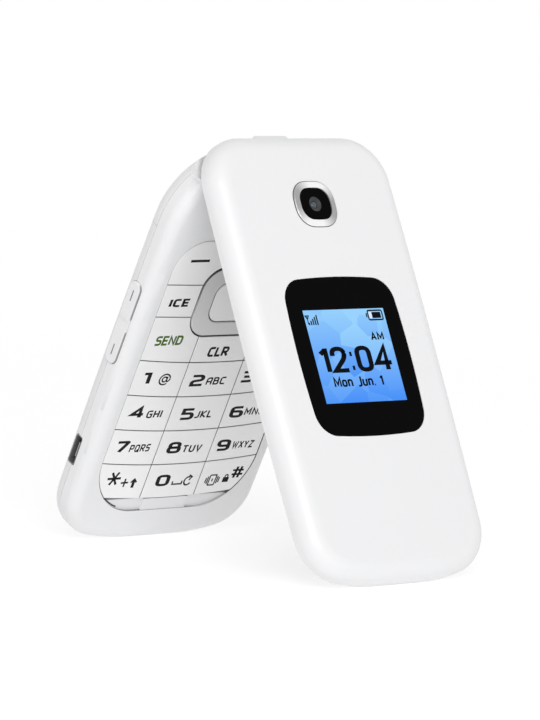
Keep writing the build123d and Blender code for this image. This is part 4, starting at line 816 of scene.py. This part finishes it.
def trimHeadset():
    bm = bmesh.new()
    bm.from_mesh(nodes["headset_jack"].data)
    upper, lower = [baseSeat @ (Vector((x, 0, z)) * mm) for x, z in (headset["upper"], headset["lower"])]
    along = baseSeat.to_3x3() @ Vector((0, 1, 0))
    side = (upper - lower).cross(along).normalized()
    if side.x < 0:
        side.negate()
    cut = bmesh.ops.bisect_plane(
        bm, geom=bm.verts[:] + bm.edges[:] + bm.faces[:], plane_co=upper, plane_no=side, clear_outer=True)
    rim = [e for e in cut["geom_cut"] if isinstance(e, bmesh.types.BMEdge)]
    # The cut faces take the grey of the painted rim highlight.
    for face in bmesh.ops.bridge_loops(bm, edges=rim)["faces"]:
        face.material_index = 1
    mouth = makePiece(bm, "headset_mouth", "base", moulded)
    mouth.data.materials.append(plainFinish("headset ring", {
        "colour": headset["ring"], "gloss": (0.3, 0.4), "grain": 1800, "relief": 0.1}))
    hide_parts("headset_jack")


trimHeadset()

# The left knuckle's end is closed by a thin cap that hides the flex strip.
hingeCap = {"end": 20.12, "thick": 0.1, "radius": 4.1, "chamfer": 0.08}


def makeHingeCap():
    low, high = hingeCap["end"], hingeCap["end"] + hingeCap["thick"]
    wide, chamfer = hingeCap["radius"], hingeCap["chamfer"]
    sideways = flipSeat @ Matrix.Rotation(-pi / 2, 4, "Y")
    profile = [(0, low), (wide, low), (wide, high - chamfer), (wide - chamfer, high), (0, high)]
    makePiece(turned(profile, sideways, 0, 0), "hinge_end_cap", "flip", whiteCase)


makeHingeCap()

# The chin: shade in the left corner of its ledge, and a pale screen over the microphone's hole.
chin = {
    "shade": (0.08, 0.08, 0.085), "ledge": -0.35, "arcRadius": 13.1, "arcPlace": (-9.0, 78.05),
    "arcTurn": (214, 36), "stroke": 0.36, "screenRadius": 0.5, "screenLevel": (0.305, 0.2),
    "microphone": 95.35}


def makeChin():
    bm = bmesh.new()
    line = arc(chin["arcRadius"], chin["arcRadius"], *chin["arcTurn"], 9)
    draw(bm, (baseSeat, chin["ledge"]), [line], *chin["arcPlace"], chin["stroke"])
    shade = plainFinish("shade in the ledge", {
        "colour": chin["shade"], "gloss": (0.6, 0.7), "grain": 2000, "relief": 0.05, "specular": 0.1})
    makePiece(bm, "chin_shade", "base", shade)
    high, low = chin["screenLevel"]
    profile = [(0, high), (chin["screenRadius"], high), (chin["screenRadius"], low)]
    screen = turned(profile, baseSeat, 0, up(chin["microphone"]))
    makePiece(screen, "microphone_screen", "base", whiteCase)


makeChin()

# What the outer display shows. Words: middle across and from the hinge end, height, stroke, stretch
# and gap. Signs: middle across and from the hinge end, then the stroke.
clock = {
    "level": 6.11,
    "words": (("12:04", 0.0, 51.0, 5.8, 0.97, 1.38, 0.27), ("Mon Jun. 1", -0.9, 55.9, 2.3, 0.42, 1.16, 0.3),
              ("AM", 7.75, 46.1, 1.8, 0.36, 1.34, 0.35)),
    "bars": 5, "firstBar": (-10.5, 43.1, 0.36), "barHeight": 0.4, "barStep": (0.6, 0.42),
    "aerial": (-10.75, 42.0, 0.22), "cell": (8.8, 41.4, 0.34), "charge": (8.8, 41.4, 1.35)}
screenLook = {"gloss": (0.3, 0.4), "grain": 3000, "relief": 0.02}
screenInk = plainFinish("dark picture ink", {
    **screenLook, "colour": (0.002, 0.003, 0.005), "specular": 0.03})
screenPale = plainFinish("pale picture ink", {
    **screenLook, "colour": (0.75, 0.83, 0.93), "specular": 0.15})


def showClock():
    glass = (flipSeat, clock["level"])
    bm = bmesh.new()
    for words, x, fromEnd, height, stroke, stretch, gap in clock["words"]:
        write(bm, glass, words, x, fromEnd, clockDigits, height, stroke, stretch, 0, gap)
    x, fromEnd, stroke = clock["firstBar"]
    apart, taller = clock["barStep"]
    for step in range(clock["bars"]):
        bar = [(0, 0), (0, clock["barHeight"] + taller * step)]
        draw(bm, glass, [bar], x + apart * step, fromEnd, stroke)
    aerial = [[(-0.5, 0.9), (0.5, 0.9), (0, 0.1), (-0.5, 0.9)], [(0, 0.9), (0, -0.9)]]
    draw(bm, glass, aerial, *clock["aerial"])
    draw(bm, glass, [box(2.05, -1.05, 1.05, 0.4), [(-2.5, -0.4), (-2.5, 0.4)]], *clock["cell"])
    draw(bm, glass, [[(-0.7, 0), (1.3, 0)]], *clock["charge"])
    makePiece(bm, "screen_signs", "flip", screenInk)
    bm = bmesh.new()
    draw(bm, glass, [[(-1.5, 0), (-1.2, 0)]], *clock["charge"])
    makePiece(bm, "screen_charge", "flip", screenPale)


showClock()
print("outer display lit")

# The camera's glass has a bowl cut in it, with the lens on the bowl's floor.
lens = {
    "mouth": 1.65, "throat": 0.78, "depth": 0.52, "lip": 0.12, "glassTop": 6.2, "domeRise": 0.3,
    "barrel": (0.019, 0.019, 0.021), "pupil": (0.02, 0.045, 0.07), "edge": (0.004, 0.006, 0.01)}


def makePupilFinish():
    mat, tree, shader = newMaterial("lens pupil", lens["pupil"], 0.08, specular=0.6, coat=0.6)
    facing = addNode(tree, "ShaderNodeLayerWeight", {"Blend": 0.35})
    colour = blendColours(tree, facing.outputs["Facing"], lens["pupil"], lens["edge"])
    tree.links.new(colour, shader.inputs["Base Color"])
    return mat


# The form that cuts the bowl, from its floor to well above the glass.
def makeCutter(floor, barrel):
    top, mouth, throat, lip = lens["glassTop"], lens["mouth"], lens["throat"], lens["lip"]
    bm = turned([
        (0, floor), (throat, floor), (throat + 0.05, floor + 0.1), (mouth - lip, top - lip),
        (mouth, top - lip / 2), (mouth, top + 0.3), (0, top + 0.3)], flipSeat, 0, up(cameraFromEnd))
    bmesh.ops.recalc_face_normals(bm, faces=bm.faces)
    mesh = bpy.data.meshes.new("lens cutter")
    bm.to_mesh(mesh)
    bm.free()
    mesh.materials.append(barrel)
    cutter = bpy.data.objects.new("lens cutter", mesh)
    bpy.context.scene.collection.objects.link(cutter)
    return cutter


def makeCameraGlass():
    barrel = plainFinish("lens barrel", {
        "colour": lens["barrel"], "gloss": (0.35, 0.45), "grain": 2500, "relief": 0.1, "specular": 0.5})
    floor = lens["glassTop"] - lens["depth"]
    cutter = makeCutter(floor, barrel)
    mesh = nodes["camera_glass"].data.copy()
    mesh.materials.clear()
    mesh.materials.append(makeWindow("camera glass black"))
    mesh.materials.append(barrel)
    glass = bpy.data.objects.new("camera_front_glass", mesh)
    bpy.context.scene.collection.objects.link(glass)
    hole = glass.modifiers.new("lens hole", "BOOLEAN")
    hole.operation = "DIFFERENCE"
    hole.object = cutter
    hole.solver = "EXACT"
    hole.material_mode = "TRANSFER"
    bpy.context.view_layer.update()
    cut = bpy.data.meshes.new_from_object(glass.evaluated_get(bpy.context.evaluated_depsgraph_get()))
    glass.modifiers.clear()
    glass.data = cut
    bpy.data.objects.remove(cutter)
    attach(glass, "flip")
    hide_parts("camera_glass")
    dome = arc(lens["throat"], lens["domeRise"], 0, 90, 6, 0, floor - 0.02)
    dome[-1] = (0, dome[-1][1])
    pupil = turned(dome, flipSeat, 0, up(cameraFromEnd))
    makePiece(pupil, "lens_pupil", "flip", makePupilFinish(), smooth=True)


makeCameraGlass()
print("camera glass cut")

# Where the camera stands, in mm from the hinge, and its own three directions.
viewpoint = {
    "lens": 228.75, "place": (-653.44, -722.86, 53.44), "right": (0.74507, -0.66558, 0.04328),
    "top": (0.03167, 0.10011, 0.99447), "back": (-0.66623, -0.73958, 0.09567)}


def placeCamera():
    data = bpy.data.cameras.new("camera")
    data.lens = viewpoint["lens"]
    data.sensor_width = 36
    data.clip_start = 0.05
    data.clip_end = 20
    camera = bpy.data.objects.new("camera", data)
    bpy.context.scene.collection.objects.link(camera)
    turn = Matrix([viewpoint[way] for way in ("right", "top", "back")]).transposed().to_4x4()
    camera.matrix_world = Matrix.Translation(hinge + Vector(viewpoint["place"]) * mm) @ turn
    bpy.context.scene.camera = camera


placeCamera()

# The studio, in metres: the floor turns into the white backdrop between the two ends of floorFade.
studio = {
    "roomLight": 0.56, "floorGlow": 0.38, "floorLift": 0.585, "floorPaint": 0.62, "floorFade": (0.12, 0.55),
    "floorRadius": 2.0}


# 1 for rays that see the backdrop, 0 for rays that only carry light.
def seenRays(tree):
    path = addNode(tree, "ShaderNodeLightPath").outputs
    clear = maths(tree, "MAXIMUM", path["Is Camera Ray"], path["Is Transmission Ray"])
    return maths(tree, "MAXIMUM", clear, path["Is Glossy Ray"])


def makeRoom():
    world = bpy.data.worlds.new("studio")
    bpy.context.scene.world = world
    world.use_nodes = True
    tree = world.node_tree
    tree.nodes.clear()
    light = addNode(tree, "ShaderNodeBackground", {"Color": white, "Strength": studio["roomLight"]})
    backdrop = addNode(tree, "ShaderNodeBackground", {"Color": white, "Strength": 1.0})
    parts = {0: seenRays(tree), 1: light.outputs[0], 2: backdrop.outputs[0]}
    mix = addNode(tree, "ShaderNodeMixShader", parts)
    addNode(tree, "ShaderNodeOutputWorld", {"Surface": mix.outputs[0]})


# The floor takes the shadows near the phone, turns white farther off, and is clear from below.
def makeFloor():
    bm = bmesh.new()
    bmesh.ops.create_circle(bm, cap_ends=True, segments=96, radius=studio["floorRadius"])
    mesh = bpy.data.meshes.new("floor")
    bm.to_mesh(mesh)
    bm.free()
    floor = bpy.data.objects.new("floor", mesh)
    bpy.context.scene.collection.objects.link(floor)
    mat = bpy.data.materials.new("studio floor")
    mat.use_nodes = True
    tree = mat.node_tree
    tree.nodes.clear()
    seen = seenRays(tree)
    place = addNode(tree, "ShaderNodeTexCoord").outputs["Object"]
    away = addNode(tree, "ShaderNodeVectorMath", {0: place}, operation="LENGTH").outputs["Value"]
    fade = maths(tree, "MULTIPLY", seen, spread(tree, away, *studio["floorFade"]))
    paint = addNode(tree, "ShaderNodeBsdfDiffuse", {"Color": (*[studio["floorPaint"]] * 3, 1)})
    strength = spread(tree, seen, 0, 1, studio["floorGlow"], studio["floorLift"])
    lift = addNode(tree, "ShaderNodeEmission", {"Color": white, "Strength": strength})
    near = addNode(tree, "ShaderNodeAddShader", {0: paint.outputs[0], 1: lift.outputs[0]})
    far = addNode(tree, "ShaderNodeEmission", {"Color": white, "Strength": 1.0})
    whole = addNode(tree, "ShaderNodeMixShader", {0: fade, 1: near.outputs[0], 2: far.outputs[0]})
    under = addNode(tree, "ShaderNodeBsdfTransparent")
    below = addNode(tree, "ShaderNodeNewGeometry").outputs["Backfacing"]
    sides = addNode(tree, "ShaderNodeMixShader", {0: below, 1: whole.outputs[0], 2: under.outputs[0]})
    addNode(tree, "ShaderNodeOutputMaterial", {"Surface": sides.outputs[0]})
    mesh.materials.append(mat)


# The lamps, in metres and watts.
lamps = {
    "key softbox": {"place": (-0.7, -1.05, 0.58), "aim": (0, 0, 0.05), "size": (0.9, 0.9), "power": 9.0},
    "left softbox": {"place": (-1.0, -0.35, 0.12), "aim": (0, 0, 0.04), "size": (0.6, 0.5), "power": 0.1}}


def softbox(name, look):
    data = bpy.data.lights.new(name, "AREA")
    data.shape = "RECTANGLE"
    data.size, data.size_y = look["size"]
    data.energy = look["power"]
    lamp = bpy.data.objects.new(name, data)
    lamp.location = look["place"]
    facing = Vector(look["aim"]) - Vector(look["place"])
    lamp.rotation_euler = facing.to_track_quat("-Z", "Y").to_euler()
    bpy.context.scene.collection.objects.link(lamp)


makeRoom()
makeFloor()
for name, look in lamps.items():
    softbox(name, look)
bpy.context.scene.view_settings.view_transform = "Standard"
print("studio lit")
